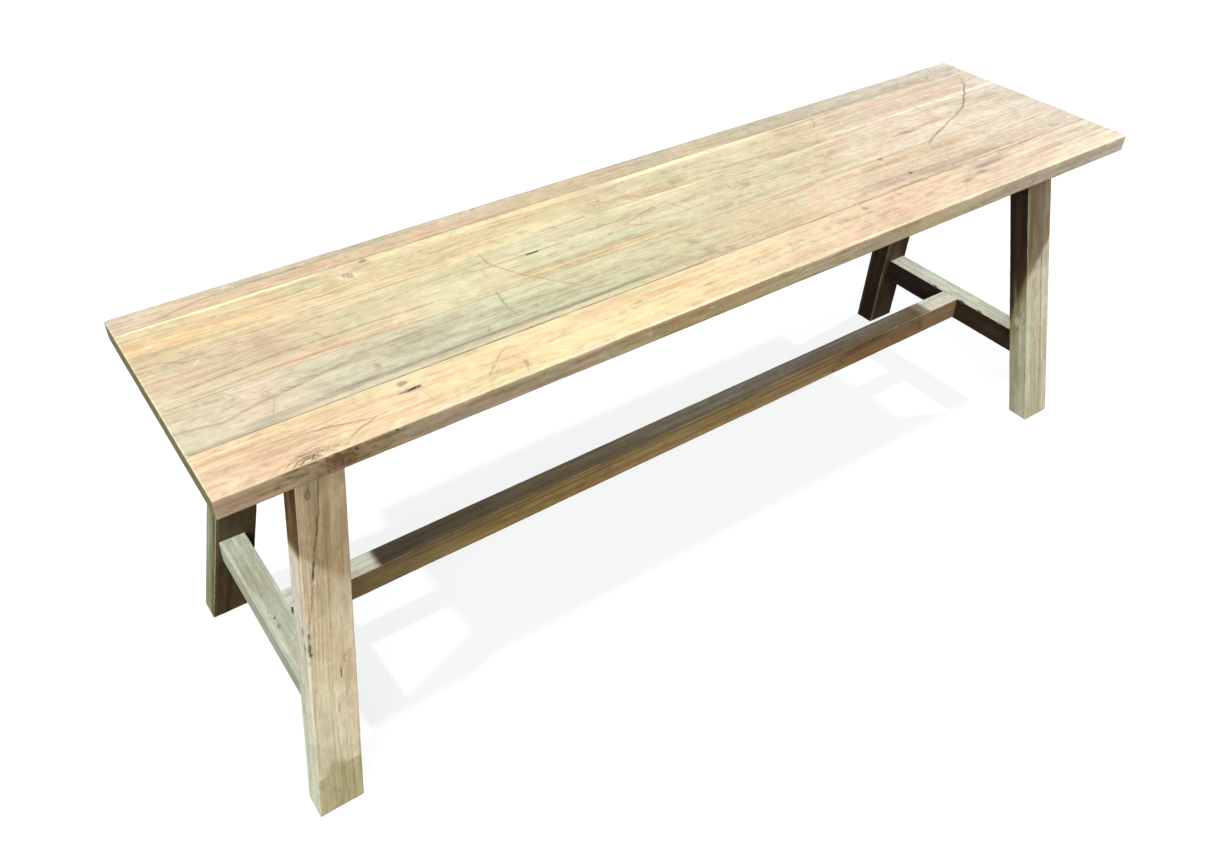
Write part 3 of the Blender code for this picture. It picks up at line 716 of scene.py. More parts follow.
    # each plank has grain of its own, which wavers and parts round the larger patches
    flow = place + np.array([index * 3.1, index * 0.37, index * 0.11])
    flow[:, 1] += 11 * mm * (softNoise(x / 210, y / 55, 600 + index) - 0.5)
    flow[:, 1] += 3 * mm * (softNoise(x / 48, y / 24, 610 + index) - 0.5)
    for px, py, rx, ry, _, _ in marks["patches"]:
        if rx > 4:
            push = np.exp(-((x - px) / (rx * 2.2)) ** 2 - ((y - py) / (ry * 1.6)) ** 2)
            flow[:, 1] -= 0.55 * ry * mm * push * np.sign(y - py)
    storeBoard(f"plank_{index + 1}", mesh, eased + np.array(low), flow, colour, seatTeak, node)


for index in range(len(seat["planks"])):
    makePlank(index)
print("seat ready")


endGrainColour = "#b79c70"  # of the legs and stretchers

# On a leg, places are in millimetres: first up from the floor, then across the face from the leg's
# inner side. face is the front or back of a leg, end its outer narrow side, and innerFace and innerEnd
# the two sides that look under the seat.
legs = {
    "sizeX": 49.5 * mm,
    "sizeY": 30.5 * mm,
    "step": (1.5 * mm, 1.3 * mm, 1.3 * mm),
    "bearerGap": 0.3 * mm,
    "arris": 1.2 * mm,
    "wearLong": 30.0,  # how far along the arris the wear stays alike
    "rub": 0.45,  # how pale the arris is rubbed
    "waver": (7 * mm, 150.0, 40.0),  # how far the grain strays, over how long and how wide a stretch
    "wornColour": "#fff0cf",
    "front_left": {
        "face": {
            # darker from about 275 mm up along a slanting edge: painted shadow of the seat's end; the darker
            # olive foot below is a painted shadow too
            "tones": [
                (-40, "#fbeec9"), (85, "#fdefcb"), (200, "#ffeac4"), (270, "#ffeac6"), (276, "#e6c99b"),
                (330, "#f2d6aa"), (402, "#ffe4b8"),
            ],
            "shadowSlant": -0.87,
            "streaks": [
                ((240, 402), 20, 4, "#dcbf92", 0.5), ((0, 402), 45, 2.0, "#f4e4c0", 0.4),
                ((130, 402), 12, 3, "#f0d3a8", 0.4), ((60, 230), 27, 3, "#f0d8ae", 0.4),
                ((150, 330), 5, 2, "#fff0d0", 0.6), ((290, 402), 31, 2.5, "#e0c08e", 0.5),
            ],
            # a painted shadow across the foot, darker olive below a sharp slanting rim
            "stainAndShadow": (56, 0.16, "#cfc494", 0.85),
            "patches": [
                (378, 37.5, 4.5, 3.2, "#c2a274", 0.9), (378, 37.5, 2.4, 1.5, "#e0c293", 0.9),
                (228, 46.5, 3, 1.6, "#8f8b76", 0.9), (214, 47, 6, 2.2, "#98917a", 0.9),
                (206, 46, 3, 2, "#6f6a58", 0.9), (300, 14, 10, 3, "#d8b98a", 0.6),
                # these two olive patches low on the face deepen the painted shadow across the foot
                (52, 30, 12, 12, "#bcae7e", 0.6), (14, 12, 22, 9, "#b9b084", 0.5),
                (352, 20, 16, 3.4, "#c9a676", 0.6),
            ],
            "strokes": [
                ([(402, 26.5), (385, 27), (362, 27.8), (345, 29.5)], 0.7, "#544330", 0.75, 0.5),
                ([(350, 30.4), (338, 30.2), (333, 31)], 0.9, "#372a1b", 0.9, 0.9),
                ([(345, 29.5), (325, 33.5), (309, 36.2)], 0.6, "#6b573b", 0.7, 0.4),
                ([(307, 36.2), (295, 37.6), (286, 38.2)], 1.0, "#34281a", 0.9, 0.9),
                ([(284, 38.4), (262, 41.5), (232, 46.5)], 0.7, "#8a7450", 0.7, 0.35),
                ([(374, 38.6), (380, 40.5), (384, 37.5), (380, 35), (374, 36)], 0.6, "#8a6b42", 0.8, 0.2),
                ([(175, 16.2), (168, 16.6), (162, 16.4)], 0.6, "#5c4a30", 0.9, 0.4),
                ([(133, 20.6), (122, 21)], 0.6, "#6a573a", 0.85, 0.3),
                ([(190, 13), (180, 12.4)], 0.5, "#9c8358", 0.7, 0.1),
                ([(232, 46.8), (222, 48), (214, 46), (205, 48)], 0.7, "#5f5a48", 0.9, 0.3),
                ([(150, 47.6), (110, 46.4), (60, 47)], 0.6, "#c3b78a", 0.6, 0.0),
                ([(90, 30), (60, 29), (30, 29.4)], 0.6, "#b9a97a", 0.6, 0.0),
            ],
        },
        "end": {
            # dark from 318 mm up: painted shadow of the seat's end, pale below it
            "tones": [
                (0, "#eff0d0"), (120, "#fffbe4"), (240, "#fffcea"), (309, "#fff4da"), (318, "#9c7a4e"),
                (402, "#6f5230"),
            ],
            "streaks": [
                ((0, 260), 8, 4, "#e6ebcb", 0.7), ((40, 300), 22, 3, "#fffdf0", 0.6),
                ((320, 402), 12, 4, "#c39c68", 0.6),
            ],
            "patches": [
                (228, 21, 4, 2.6, "#a9a88a", 0.8), (212, 24, 6, 2, "#b3b092", 0.8),
                (150, 16, 12, 6, "#e0e4c6", 0.6),
            ],
            "strokes": [
                ([(232, 20), (226, 22), (220, 20)], 0.6, "#6f6c55", 0.8, 0.2),
                ([(214, 26), (206, 24)], 0.7, "#77745c", 0.8, 0.2),
            ],
        },
        "innerFace": {"tones": [(0, "#cdb68a"), (402, "#a88a5c")]},
        "innerEnd": {"tones": [(0, "#d4be93"), (402, "#a5875a")]},
    },
    "back_left": {
        "end": {
            "tones": [(0, "#a9aa86"), (150, "#a3a783"), (300, "#b3b493"), (402, "#a8a07a")],
            "streaks": [
                ((0, 402), 5, 5, "#77653f", 0.8), ((60, 340), 24, 3, "#c9d0b2", 0.7),
                ((0, 200), 14, 4, "#b3bb9c", 0.6),
            ],
            "patches": [
                (110, 14, 30, 7, "#8b936f", 0.7), (280, 18, 26, 6, "#c3c9ab", 0.6),
                (190, 20, 18, 6, "#8a8a62", 0.6), (40, 16, 20, 8, "#8f9875", 0.6),
                (350, 12, 20, 6, "#7f7850", 0.6),
            ],
        },
        "innerFace": {
            # a face under the seat, darkened and darker towards the top: painted shade
            "paintedShade": 0.6,
            "tones": [(0, "#8a7247"), (90, "#75603b"), (260, "#6a5536"), (402, "#5c492e")],
            "streaks": [
                ((0, 402), 47, 2, "#a98d5f", 0.7), ((0, 300), 30, 4, "#544129", 0.6),
                ((40, 402), 12, 4, "#7d6743", 0.6),
            ],
            "patches": [(60, 38, 30, 7, "#8f7a4e", 0.5), (330, 30, 26, 9, "#7b6844", 0.5)],
        },
        "face": {"tones": [(0, "#cdb68a"), (402, "#c0a577")]},
        "innerEnd": {"tones": [(0, "#97804f"), (402, "#6c5735")]},
    },
    "front_right": {
        "face": {
            # darker from about 250 mm up along a slanting edge: painted shadow of the seat's end, deepened by
            # the dark streaks and the lilac patch up there
            "tones": [
                (-60, "#e4dbb9"), (120, "#f4ead0"), (243, "#f2e8cd"), (251, "#bda781"), (402, "#b49c76"),
            ],
            "shadowSlant": -1.15,
            "streaks": [
                ((0, 230), 42, 5, "#fbf0d6", 0.5), ((330, 402), 41, 6, "#cdbb99", 0.8),
                ((60, 240), 24, 5, "#e2d6b6", 0.5), ((270, 402), 27, 3, "#9f878c", 0.6),
                ((60, 240), 12, 4, "#e6dab8", 0.5), ((262, 402), 9, 6, "#8d7551", 0.7),
                ((300, 402), 20, 4, "#957d5c", 0.5),
            ],
            "patches": [
                (346, 27, 22, 5, "#b29b9c", 0.5), (196, 37, 4, 2, "#fff6de", 0.7),
                (20, 20, 20, 12, "#cfc6a2", 0.5),
            ],
            "strokes": [
                ([(402, 31.5), (250, 31.3), (120, 31.7), (0, 31.5)], 0.6, "#8d7959", 0.9, 0.3),
                ([(120, 20), (80, 22), (40, 21)], 0.6, "#bcae88", 0.6, 0.0),
            ],
        },
        "innerEnd": {
            # dark above a steep slanting line: painted shade under the seat; the pale patches and strokes
            # just below that line are painted light where the lamp reaches under
            "tones": [
                (-100, "#eceacd"), (60, "#dddab6"), (120, "#c8c298"), (158, "#a3965f"), (172, "#6d5634"),
                (230, "#43301b"), (402, "#3b2814"),
            ],
            "shadowSlant": -3.0,
            "streaks": [
                ((0, 210), 20, 3, "#fffde4", 0.6), ((20, 260), 10, 3, "#b9b083", 0.6),
                ((200, 402), 15, 5, "#6a4c2a", 0.5),
            ],
            "patches": [
                (196, 24, 12, 4, "#efe9cc", 0.6), (170, 14, 9, 5, "#fffbe6", 0.5),
                (90, 12, 20, 6, "#cdc69c", 0.6), (150, 8, 10, 4, "#8a7d54", 0.6),
            ],
            "strokes": [
                ([(205, 28), (190, 22), (172, 19), (150, 12)], 0.8, "#8d8055", 0.6, 0.0),
                ([(188, 27), (176, 20), (160, 22)], 0.7, "#fffbe2", 0.7, 0.0),
                ([(172, 10), (164, 17), (166, 26)], 0.6, "#fffbe2", 0.7, 0.0),
                ([(150, 6), (144, 14), (148, 24)], 0.6, "#f2ecc6", 0.7, 0.0),
                ([(136, 9), (131, 18), (134, 27)], 0.5, "#e6dfb6", 0.7, 0.0),
            ],
        },
        "innerFace": {"tones": [(0, "#cdb68a"), (402, "#927546")]},
        "end": {"tones": [(0, "#f0e6c8"), (402, "#e2cfa2")]},
    },
    "back_right": {
        "innerFace": {
            # a face under the seat, darkened and darker towards the top: painted shade
            "paintedShade": 0.6,
            "tones": [(0, "#7c6744"), (200, "#66512f"), (402, "#4d3a22")],
            "streaks": [
                # the first streak, a pale line down the arris, is rubbed wear and painted highlight
                ((0, 402), 2.5, 1.6, "#d6c39c", 0.7), ((0, 300), 22, 5, "#8c7750", 0.5),
                ((60, 402), 38, 5, "#4a371f", 0.6),
            ],
            "patches": [(150, 26, 24, 8, "#8f7c54", 0.5), (40, 34, 24, 8, "#8b7850", 0.5)],
        },
        "innerEnd": {
            # darkened as painted shade under the seat
            "paintedShade": 0.6,
            "tones": [(0, "#5f4526"), (402, "#523c22")],
            # the first streak, a pale line down the shared arris, is rubbed wear and painted highlight
            "streaks": [((0, 402), 28, 1.6, "#c4b088", 0.6), ((20, 330), 12, 4, "#6e5230", 0.6)],
        },
        "face": {"tones": [(0, "#cdb68a"), (402, "#c0a577")]},
        "end": {"tones": [(0, "#e8dcb8"), (402, "#cdb68a")]},
    },
}


def dressFaces(place, size, faces, seed):
    # paints the four long faces of a board and the end grain; returns the colour and how marks shift it
    colour = np.tile(np.array(linear(endGrainColour)), (len(place), 1))
    shift = np.zeros(place.shape)
    sides = (("innerEnd", 1, -1), ("end", 1, 1), ("innerFace", 2, -1), ("face", 2, 1))
    for number, (name, axis, outward) in enumerate(sides):
        onFace = place[:, axis] > size[axis] - skin if outward > 0 else place[:, axis] < skin
        onFace &= (place[:, 0] > skin) & (place[:, 0] < size[0] - skin)
        marks = faces[name]
        x = place[onFace, 0] / mm
        y = place[onFace, 3 - axis] / mm
        faceSeed = seed + 31 * number
        # shadowSlant tilts a face's tones, so that the edge of a painted shadow runs aslant across it
        faceColour = runTones(marks["tones"], x + marks.get("shadowSlant", 0.0) * y)
        faceColour *= (0.91 + 0.18 * softNoise(x / 75, y / 5, faceSeed))[:, None]
        faceColour, sink = paintMarks(faceColour, np.zeros(len(x)), x, y, marks, size[0] / mm, faceSeed)
        if "stainAndShadow" in marks:
            # a darker band from the floor up, with a sharp upper rim: on the front left leg a painted shadow
            # across the foot
            height, lean, hexColour, strength = marks["stainAndShadow"]
            rim = height - lean * y + 5 * (softNoise(y / 12, x * 0, seed) - 0.5)
            faceColour = blendColour(faceColour, hexColour, strength * (1 - softStep(-1.5, 1.5, x - rim)))
        # paintedShade darkens a whole face that lies under the seat: painted shade
        colour[onFace] = faceColour * marks.get("paintedShade", 1.0)
        shift[onFace, axis] -= outward * sink
    return colour, shift


def weatherBoard(place, size, kind, faces, wornColour, seed):
    # wears a leg or a bar that lies along x; returns its new places, its colours and its grain's flow
    along = place[:, 0] / mm
    around = (place[:, 1] + place[:, 2]) / mm
    wear = softNoise(along / kind["wearLong"], around / 30, seed) * 0.6
    wear = wear + 0.4 * softNoise(along / 6, around / 6, seed + 1)
    innerTop = (place[:, 2] > size[2] - 5 * mm) & (place[:, 1] < 5 * mm)
    radius = kind["arris"] * (0.4 + 1.2 * wear)
    radius = chipRadius(radius, innerTop, along, place[:, 1] / mm, faces.get("chips", ()))
    eased, moved = easeArris(place, size, radius)
    colour, shift = dressFaces(place, size, faces, seed)
    rubbed = softStep(0.05 * mm, 0.3 * mm, moved) * softStep(0.3, 0.65, wear)
    colour = blendColour(colour, wornColour, kind["rub"] * rubbed)
    far, long, wide = kind["waver"]
    flow = place + np.array([seed * 0.7, seed * 0.13, seed * 0.07])
    flow[:, 1] += far * (softNoise(along / long, place[:, 1] / mm / wide, seed + 3) - 0.5)
    return eased + shift, colour, flow


def makeLeg(endName, sideName, seed):
    node = f"leg_{endName}_{sideName}"
    low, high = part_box(node)
    sideX = -1 if sideName == "left" else 1
    sideY = -1 if endName == "front" else 1
    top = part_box(f"seat_bearer_{sideName}")[0].z - legs["bearerGap"]
    # the outer corner at the floor and the inner corner at the shoulder fix the splay
    footX = max(abs(low.x), abs(high.x))
    footY = max(abs(low.y), abs(high.y))
    shoulderX = min(abs(low.x), abs(high.x)) + legs["sizeX"]
    shoulderY = min(abs(low.y), abs(high.y)) + legs["sizeY"]
    size = (top, legs["sizeX"], legs["sizeY"])
    mesh, place = boardMesh(node, size, legs["step"])
    marks = legs[f"{endName}_{sideName}"]
    worn, colour, flow = weatherBoard(place, size, legs, marks, legs["wornColour"], seed)
    share = worn[:, 0] / top
    outX = footX + (shoulderX - footX) * share - size[1] + worn[:, 1]
    outY = footY + (shoulderY - footY) * share - size[2] + worn[:, 2]
    world = np.stack([sideX * outX, sideY * outY, worn[:, 0]], axis=1)
    if sideX * sideY < 0:
        mesh.flip_normals()
    storeBoard(f"{node}_worn", mesh, world, flow, colour, frameTeak, node)


legSeed = 700
for sideName in ("left", "right"):
    for endName in ("front", "back"):
        makeLeg(endName, sideName, legSeed)
        legSeed += 20
print("legs ready")


# Places are in millimetres along each bar from its front or left end, then across the face. face is
# the top, innerFace the underside, and innerEnd and end the sides with the lower and the higher x or y.
stretchers = {
    "step": (1.5 * mm, 1.3 * mm, 1.3 * mm),
    "arris": 1.0 * mm,
    "wearLong": 34.0,
    "rub": 0.55,
    "waver": (3 * mm, 130.0, 30.0),
    # without tenons, each bar ends this far short of its CAD solid, just inside what it meets
    "crossInset": 12.0 * mm,
    "longInset": 15.1 * mm,
    "left": {
        "worn": "#d9dbc0",
        "face": {
            "tones": [(0, "#dadcc4"), (140, "#dddfc9"), (300, "#e4ead4")],
            "streaks": [
                ((0, 300), 4, 2.4, "#ebf1dd", 0.7), ((0, 300), 12, 3, "#c4c4a6", 0.5),
                ((30, 280), 24, 3, "#cbc9ab", 0.5), ((100, 300), 18, 2.5, "#e2e6d0", 0.5),
            ],
            "patches": [
                (115, 10.5, 1.6, 1.3, "#4a3d28", 1.0), (102, 10, 3, 2, "#b5937a", 0.8),
                (127, 7, 1.2, 1, "#6a5b42", 0.9), (112, 30.5, 4, 1.8, "#2a2116", 0.95),
                (180, 10, 24, 5, "#c0c0a2", 0.6),
            ],
            "strokes": [
                ([(240, 16), (180, 12), (140, 10), (90, 12)], 0.6, "#aaa888", 0.6, 0.0),
                ([(260, 7), (200, 5), (160, 6)], 0.6, "#b3b193", 0.6, 0.0),
                ([(120, 20), (95, 23), (70, 22)], 0.5, "#b1ae8e", 0.6, 0.0),
            ],
        },
        "innerEnd": {
            "tones": [(0, "#d5d8bd"), (300, "#e6eed8")],
            "streaks": [
                ((0, 300), 28, 3, "#c8caac", 0.6), ((0, 300), 12, 4, "#c3c5a6", 0.5),
                ((60, 240), 20, 3, "#dfe6cf", 0.6),
            ],
            "patches": [(40, 14, 24, 9, "#b9ba98", 0.6)],
        },
        "end": {"tones": [(0, "#b5b08c"), (300, "#c2bd9b")]},
        "innerFace": {"tones": [(0, "#ada27a"), (300, "#ada27a")]},
    },
    "right": {
        "worn": "#f4ecd2",
        "chips": [(165, 2.6, 5), (146, 1.8, 4), (111, 2.6, 6), (77, 3.0, 5), (68, 1.8, 4), (40, 1.8, 4)],
        "face": {
            "tones": [(0, "#fbfae2"), (150, "#f7f7e4"), (300, "#eff1dc")],
            "streaks": [
                ((0, 300), 26, 2.4, "#f0efd6", 0.5), ((0, 300), 8, 3, "#fffff2", 0.6),
                ((60, 280), 16, 3, "#eef0d8", 0.4), ((0, 90), 4, 2, "#e9deae", 0.6),
            ],
            "patches": [
                (264, 15, 3, 2, "#8f8f7a", 0.8), (252, 12, 2, 1.4, "#a3a48c", 0.8),
                (140, 3, 8, 2.5, "#dccfa6", 0.7), (176, 4, 12, 2, "#d6c9a2", 0.6),
                (165, 1.4, 5, 1.8, "#5c4529", 0.9), (111, 1.2, 6, 1.6, "#5c4529", 0.9),
                (77, 1.6, 5, 2.0, "#513a20", 0.9), (146, 1, 4, 1.2, "#6d5433", 0.8),
                (40, 1, 4, 1.2, "#6d5433", 0.8),
            ],
            "strokes": [
                ([(240, 18), (190, 15), (150, 17)], 0.6, "#cfd0b4", 0.7, 0.0),
                ([(110, 10), (70, 13), (30, 12)], 0.6, "#d4d2b2", 0.7, 0.0),
            ],
        },
        "innerEnd": {
            # the inner side under the seat, darkened: painted shade
            "paintedShade": 0.48,
            "tones": [(0, "#6d4e2e"), (150, "#5c3f24"), (300, "#4a3018")],
            "streaks": [((0, 150), 20, 5, "#7d6040", 0.5), ((150, 300), 12, 5, "#3c2612", 0.6)],
            "patches": [(40, 16, 24, 8, "#8a7250", 0.5)],
        },
        "end": {"tones": [(0, "#e8e2c0"), (300, "#dcd3ae")]},
        "innerFace": {"tones": [(0, "#a3926a"), (300, "#a3926a")]},
    },
    "long": {
        "worn": "#e9cf9c",
        "face": {
            # dark from 112 to 1038 mm: painted shadow of the seat, with both ends painted pale as lit
            "tones": [
                (0, "#fafbf0"), (106, "#f6f4e2"), (112, "#786745"), (250, "#7c6b48"), (420, "#8a7959"),
                (600, "#a3977c"), (720, "#a99d84"), (800, "#9f9176"), (930, "#a4957a"),
                (1038, "#9e8b6b"), (1046, "#fffcea"), (1102, "#fffbe6"),
            ],
            "streaks": [
                ((110, 1040), 4, 2.5, "#97825c", 0.6), ((250, 700), 20, 4, "#a69b7c", 0.5),
                ((480, 780), 12, 5, "#b6ae98", 0.5), ((560, 1040), 22, 3, "#bfb4a0", 0.5),
                ((110, 420), 24, 3, "#887550", 0.5), ((740, 1000), 9, 4, "#a58e70", 0.5),
            ],
            "patches": [
                (760, 18, 40, 6, "#a99f91", 0.5), (640, 14, 34, 7, "#b5b19e", 0.5),
                (905, 15, 22, 6, "#ad9c88", 0.5), (1016, 12, 16, 8, "#98815a", 0.5),
            ],
            "strokes": [
                ([(390, 10), (430, 12), (470, 10)], 0.6, "#74623e", 0.6, 0.0),
                ([(720, 16), (770, 13), (810, 15)], 0.6, "#786953", 0.6, 0.0),
            ],
        },
        "innerEnd": {
            # the front under the seat, darkened: painted shade
            "paintedShade": 0.68,
            "tones": [
                (0, "#d9ba7c"), (130, "#e2c184"), (300, "#dcb870"), (480, "#eac684"), (640, "#efcb8c"),
                (770, "#eccb90"), (850, "#dcb27c"), (905, "#cf9f6a"), (960, "#d2a877"),
                (1102, "#d0ab7a"),
            ],
            "streaks": [
                ((90, 1080), 30.5, 2.4, "#a98549", 0.65), ((100, 560), 24, 2, "#b18d4e", 0.6),
                ((180, 720), 18, 2.2, "#f6d896", 0.6), ((300, 1000), 11, 2.6, "#c79f60", 0.5),
                ((400, 900), 5, 2.6, "#f3d596", 0.6), ((650, 1050), 22, 3, "#bf8f5c", 0.6),
                ((840, 960), 28, 5, "#9c6a44", 0.7), ((90, 380), 6, 3, "#e9cc8e", 0.5),
            ],
            "patches": [
                (438, 21, 4, 1.6, "#ffe9c4", 0.8), (850, 17, 5, 3, "#a98757", 0.7),
                (838, 6, 4, 3, "#a07c4c", 0.7), (1022, 16, 8, 12, "#9c6f48", 0.6),
                (1008, 26, 10, 4, "#a9794f", 0.6),
            ],
            "strokes": [
                ([(120, 24), (250, 26), (330, 23), (450, 25)], 0.6, "#96723c", 0.7, 0.0),
                ([(180, 14), (300, 16), (420, 13)], 0.6, "#a27d44", 0.6, 0.0),
                ([(560, 20), (640, 22), (760, 20), (830, 21)], 0.6, "#a8834f", 0.6, 0.0),
                ([(880, 12), (960, 14), (1050, 11)], 0.6, "#94683f", 0.6, 0.0),
            ],
        },
        "end": {"tones": [(0, "#c9ac74"), (1102, "#c9ac74")]},
        "innerFace": {"tones": [(0, "#a98f60"), (1102, "#a98f60")]},
    },
}


def makeBar(node, axis, inset, marks, seed):
    # a straight bar inside its CAD node's box, with its grain along the given axis
    low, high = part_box(node)
    shorter = Vector((0, 0, 0))
    shorter[axis] = inset
    low, high = low + shorter, high - shorter
    order = [axis] + [a for a in (0, 1, 2) if a != axis]
    size = tuple((high - low)[a] for a in order)
    mesh, place = boardMesh(f"{node}_worn", size, stretchers["step"])
    worn, colour, flow = weatherBoard(place, size, stretchers, marks, marks["worn"], seed)
    world = np.empty_like(worn)
    for local, a in enumerate(order):
        world[:, a] = worn[:, local] + low[a]
    if axis == 1:
        mesh.flip_normals()
    storeBoard(f"{node}_worn", mesh, world, flow, colour, frameTeak, node)


makeBar("cross_stretcher_left", 1, stretchers["crossInset"], stretchers["left"], 800)
makeBar("cross_stretcher_right", 1, stretchers["crossInset"], stretchers["right"], 1000)
makeBar("long_stretcher", 0, stretchers["longInset"], stretchers["long"], 1200)
print("stretchers ready")


def makePlainWood(name, paleColour, darkColour, grain):
    # sawn or turned wood that is hardly seen: plain brown with grain lines from front to back
    material, tree = newMaterial(name)
    place = addNode(tree, "ShaderNodeTexCoord")
    stretched = addNode(tree, "ShaderNodeMapping", [(place.outputs["Object"], "Vector")], Scale=grain)
    noise = addNode(tree, "ShaderNodeTexNoise", [(stretched.outputs["Vector"], "Vector")],
                    Scale=1.0, Detail=4.0, Roughness=0.6)
    tone = addNode(tree, "ShaderNodeValToRGB", [(noise.outputs["Fac"], "Fac")],
                   [(0.32, darkColour), (0.66, paleColour)])
    bump = addNode(tree, "ShaderNodeBump", [(noise.outputs["Fac"], "Height")],
                   Strength=0.6, Distance=0.2 * mm)
    shader = addNode(tree, "ShaderNodeBsdfPrincipled",
                     [(tone.outputs["Color"], "Base Color"), (bump.outputs["Normal"], "Normal")],
                     Roughness=0.75, IOR=1.5)
    addNode(tree, "ShaderNodeOutputMaterial", [(shader.outputs["BSDF"], "Surface")])
    return material


def makeZinc(name):
    # zinc-plated steel: a soft grey shine with faint cloudy patches about 1 mm across
    material, tree = newMaterial(name)
    place = addNode(tree, "ShaderNodeTexCoord")
    cloud = addNode(tree, "ShaderNodeTexNoise", [(place.outputs["Object"], "Vector")],
                    Scale=900.0, Detail=3.0)
    tone = addNode(tree, "ShaderNodeValToRGB", [(cloud.outputs["Fac"], "Fac")],
                   [(0.0, "#a9a69d"), (1.0, "#d6d3c8")])
    rough = addNode(tree, "ShaderNodeMapRange", [(cloud.outputs["Fac"], "Value")],
                    **{"To Min": 0.3, "To Max": 0.5})
    shader = addNode(tree, "ShaderNodeBsdfPrincipled",
                     [(tone.outputs["Color"], "Base Color"), (rough.outputs["Result"], "Roughness")],
                     Metallic=1.0)
    addNode(tree, "ShaderNodeOutputMaterial", [(shader.outputs["BSDF"], "Surface")])
    return material


# the last three numbers are grain lines to a metre along x, y and z
railWood = makePlainWood("teak_sawn_rails", "#b39566", "#856a42", (180.0, 8.0, 180.0))
dowelWood = makePlainWood("beech_turned_dowels", "#d9bd92", "#b3936a", (300.0, 20.0, 300.0))
zinc = makeZinc("steel_zinc_plated")
finishes = {"seat_bearer": railWood, "seat_batten": railWood, "edge_dowel": dowelWood,
            "bearer_screw": zinc, "batten_screw": zinc}
for name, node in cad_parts.items():
    for start, finish in finishes.items():
        if name.startswith(start):
            node.data.materials.clear()
            node.data.materials.append(finish)
print("kept pieces painted")


stage = {
    "floorColour": "#7b7875",
    "glowColour": "#fbfcfc",
    "floorGlow": 0.84,          # what the floor shows even in full shadow
    "floorHalf": 30.0,
    "skyColour": "#f3f6f8",
    "skyStrength": 0.26,
    "groundColour": "#5a5348",  # the light that comes back up from below
    "groundStrength": 0.4,
    "horizon": {"From Min": -0.12, "From Max": 0.05},
}
# onSeat is how bright each light alone makes a white seat, spread how wide it looks in degrees;
# azimuth 0 is straight in front
lights = {
    "leftLight": {"elevation": 57.4, "azimuth": -77.8, "spread": 2.0, "onSeat": 0.66, "colour": "#e9f3ff"},
    "rightLight": {"elevation": 62.0, "azimuth": 78.1, "spread": 2.0, "onSeat": 0.58, "colour": "#e9f3ff"},
    "frontFill": {"elevation": 30.0, "azimuth": -38.0, "spread": 40.0, "onSeat": 0.42, "colour": "#ebf4ff"},
    "backFill": {"elevation": 20.0, "azimuth": 178.0, "spread": 40.0, "onSeat": 0.08, "colour": "#ebf4ff"},
}


def lookFrom(azimuth, elevation):
    # azimuth 0 stands in front of the bench, and 90 at its right end
    a, e = math.radians(azimuth), math.radians(elevation)
    return Vector((math.sin(a) * math.cos(e), -math.cos(a) * math.cos(e), math.sin(e)))


def makeFloor():
    bm = bmesh.new()
    bmesh.ops.create_grid(bm, x_segments=1, y_segments=1, size=stage["floorHalf"])
    mesh = bpy.data.meshes.new("floor")
    bm.to_mesh(mesh)
    bm.free()
    floor = addObject("floor", mesh)
    material, tree = newMaterial("floor_pale_matt")
    matt = {"Base Color": (*linear(stage["floorColour"]), 1), "Roughness": 0.9, "Specular IOR Level": 0.0,
            "Emission Color": (*linear(stage["glowColour"]), 1), "Emission Strength": stage["floorGlow"]}
    shader = addNode(tree, "ShaderNodeBsdfPrincipled", **matt)
    addNode(tree, "ShaderNodeOutputMaterial", [(shader.outputs["BSDF"], "Surface")])
    mesh.materials.append(material)
    # the pale floor would light the underside of the seat far too well, so the dim lower sky does it
    floor.visible_diffuse = False
    floor.visible_glossy = False


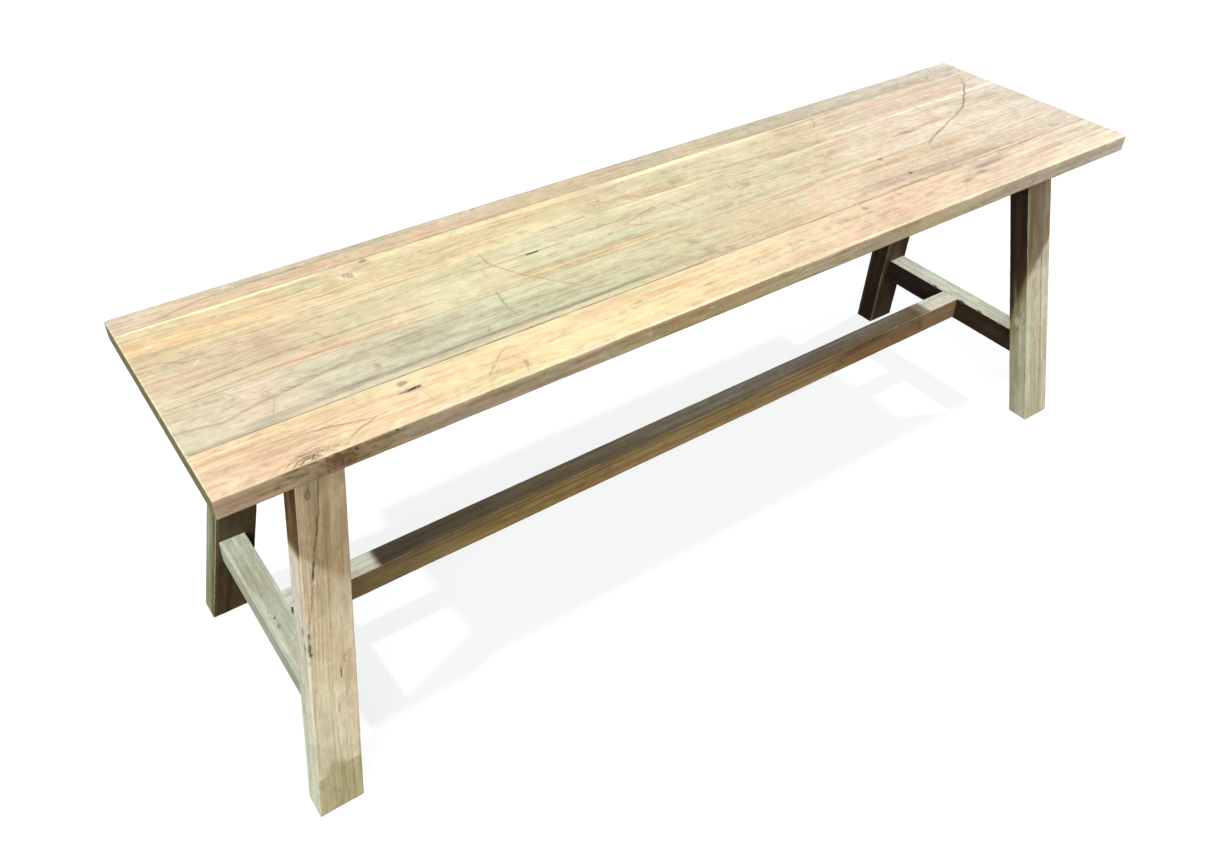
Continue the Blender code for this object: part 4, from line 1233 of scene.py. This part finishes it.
def makeLight(name, light):
    data = bpy.data.lights.new(name, 'SUN')
    data.angle = math.radians(light["spread"])
    data.energy = math.pi * light["onSeat"] / math.sin(math.radians(light["elevation"]))
    data.color = linear(light["colour"])
    lamp = addObject(name, data)
    back = lookFrom(light["azimuth"], light["elevation"])
    lamp.location = Vector((0, 0, 0.3)) + back * 3.0
    lamp.rotation_mode = 'QUATERNION'
    lamp.rotation_quaternion = (-back).to_track_quat('-Z', 'Y')


def makeWorld():
    world = bpy.data.worlds.new("studio")
    world.use_nodes = True
    tree = world.node_tree
    tree.nodes.clear()
    ground = [c * stage["groundStrength"] for c in linear(stage["groundColour"])] + [1]
    sky = [c * stage["skyStrength"] for c in linear(stage["skyColour"])] + [1]
    direction = addNode(tree, "ShaderNodeTexCoord")
    height = addNode(tree, "ShaderNodeSeparateXYZ", [(direction.outputs["Generated"], "Vector")])
    horizon = addNode(tree, "ShaderNodeMapRange", [(height.outputs["Z"], "Value")], **stage["horizon"])
    light = addNode(tree, "ShaderNodeMix", [(horizon.outputs["Result"], 0), (ground, 6), (sky, 7)],
                    data_type='RGBA')
    background = addNode(tree, "ShaderNodeBackground", [(light.outputs[2], "Color")])
    addNode(tree, "ShaderNodeOutputWorld", [(background.outputs["Background"], "Surface")])
    bpy.context.scene.world = world


camera = {
    "azimuth": -35.57,
    "elevation": 37.15,
    "roll": 0.82,
    "target": (0.0603, 0.2686, 0.0206),
    "distance": 1.7295,
    "lens": 32.16,
    "shift": (0.0083, -0.0438),
}


def makeCamera():
    data = bpy.data.cameras.new("camera")
    data.sensor_width = 36.0
    data.lens = camera["lens"]
    data.shift_x, data.shift_y = camera["shift"]
    data.clip_end = 200.0
    data.dof.use_dof = False
    back = lookFrom(camera["azimuth"], camera["elevation"])
    eye = addObject("camera", data)
    right = Vector((0, 0, 1)).cross(back).normalized()
    up = back.cross(right)
    turn = Matrix((right, up, back)).transposed() @ Matrix.Rotation(math.radians(camera["roll"]), 3, 'Z')
    spot = Vector(camera["target"]) + back * camera["distance"]
    eye.matrix_world = Matrix.Translation(spot) @ turn.to_4x4()
    bpy.context.scene.camera = eye


makeFloor()
for name, light in lights.items():
    makeLight(name, light)
makeWorld()
makeCamera()
bpy.context.scene.view_settings.view_transform = 'Standard'
print("stage ready")

bpy.context.view_layer.update()
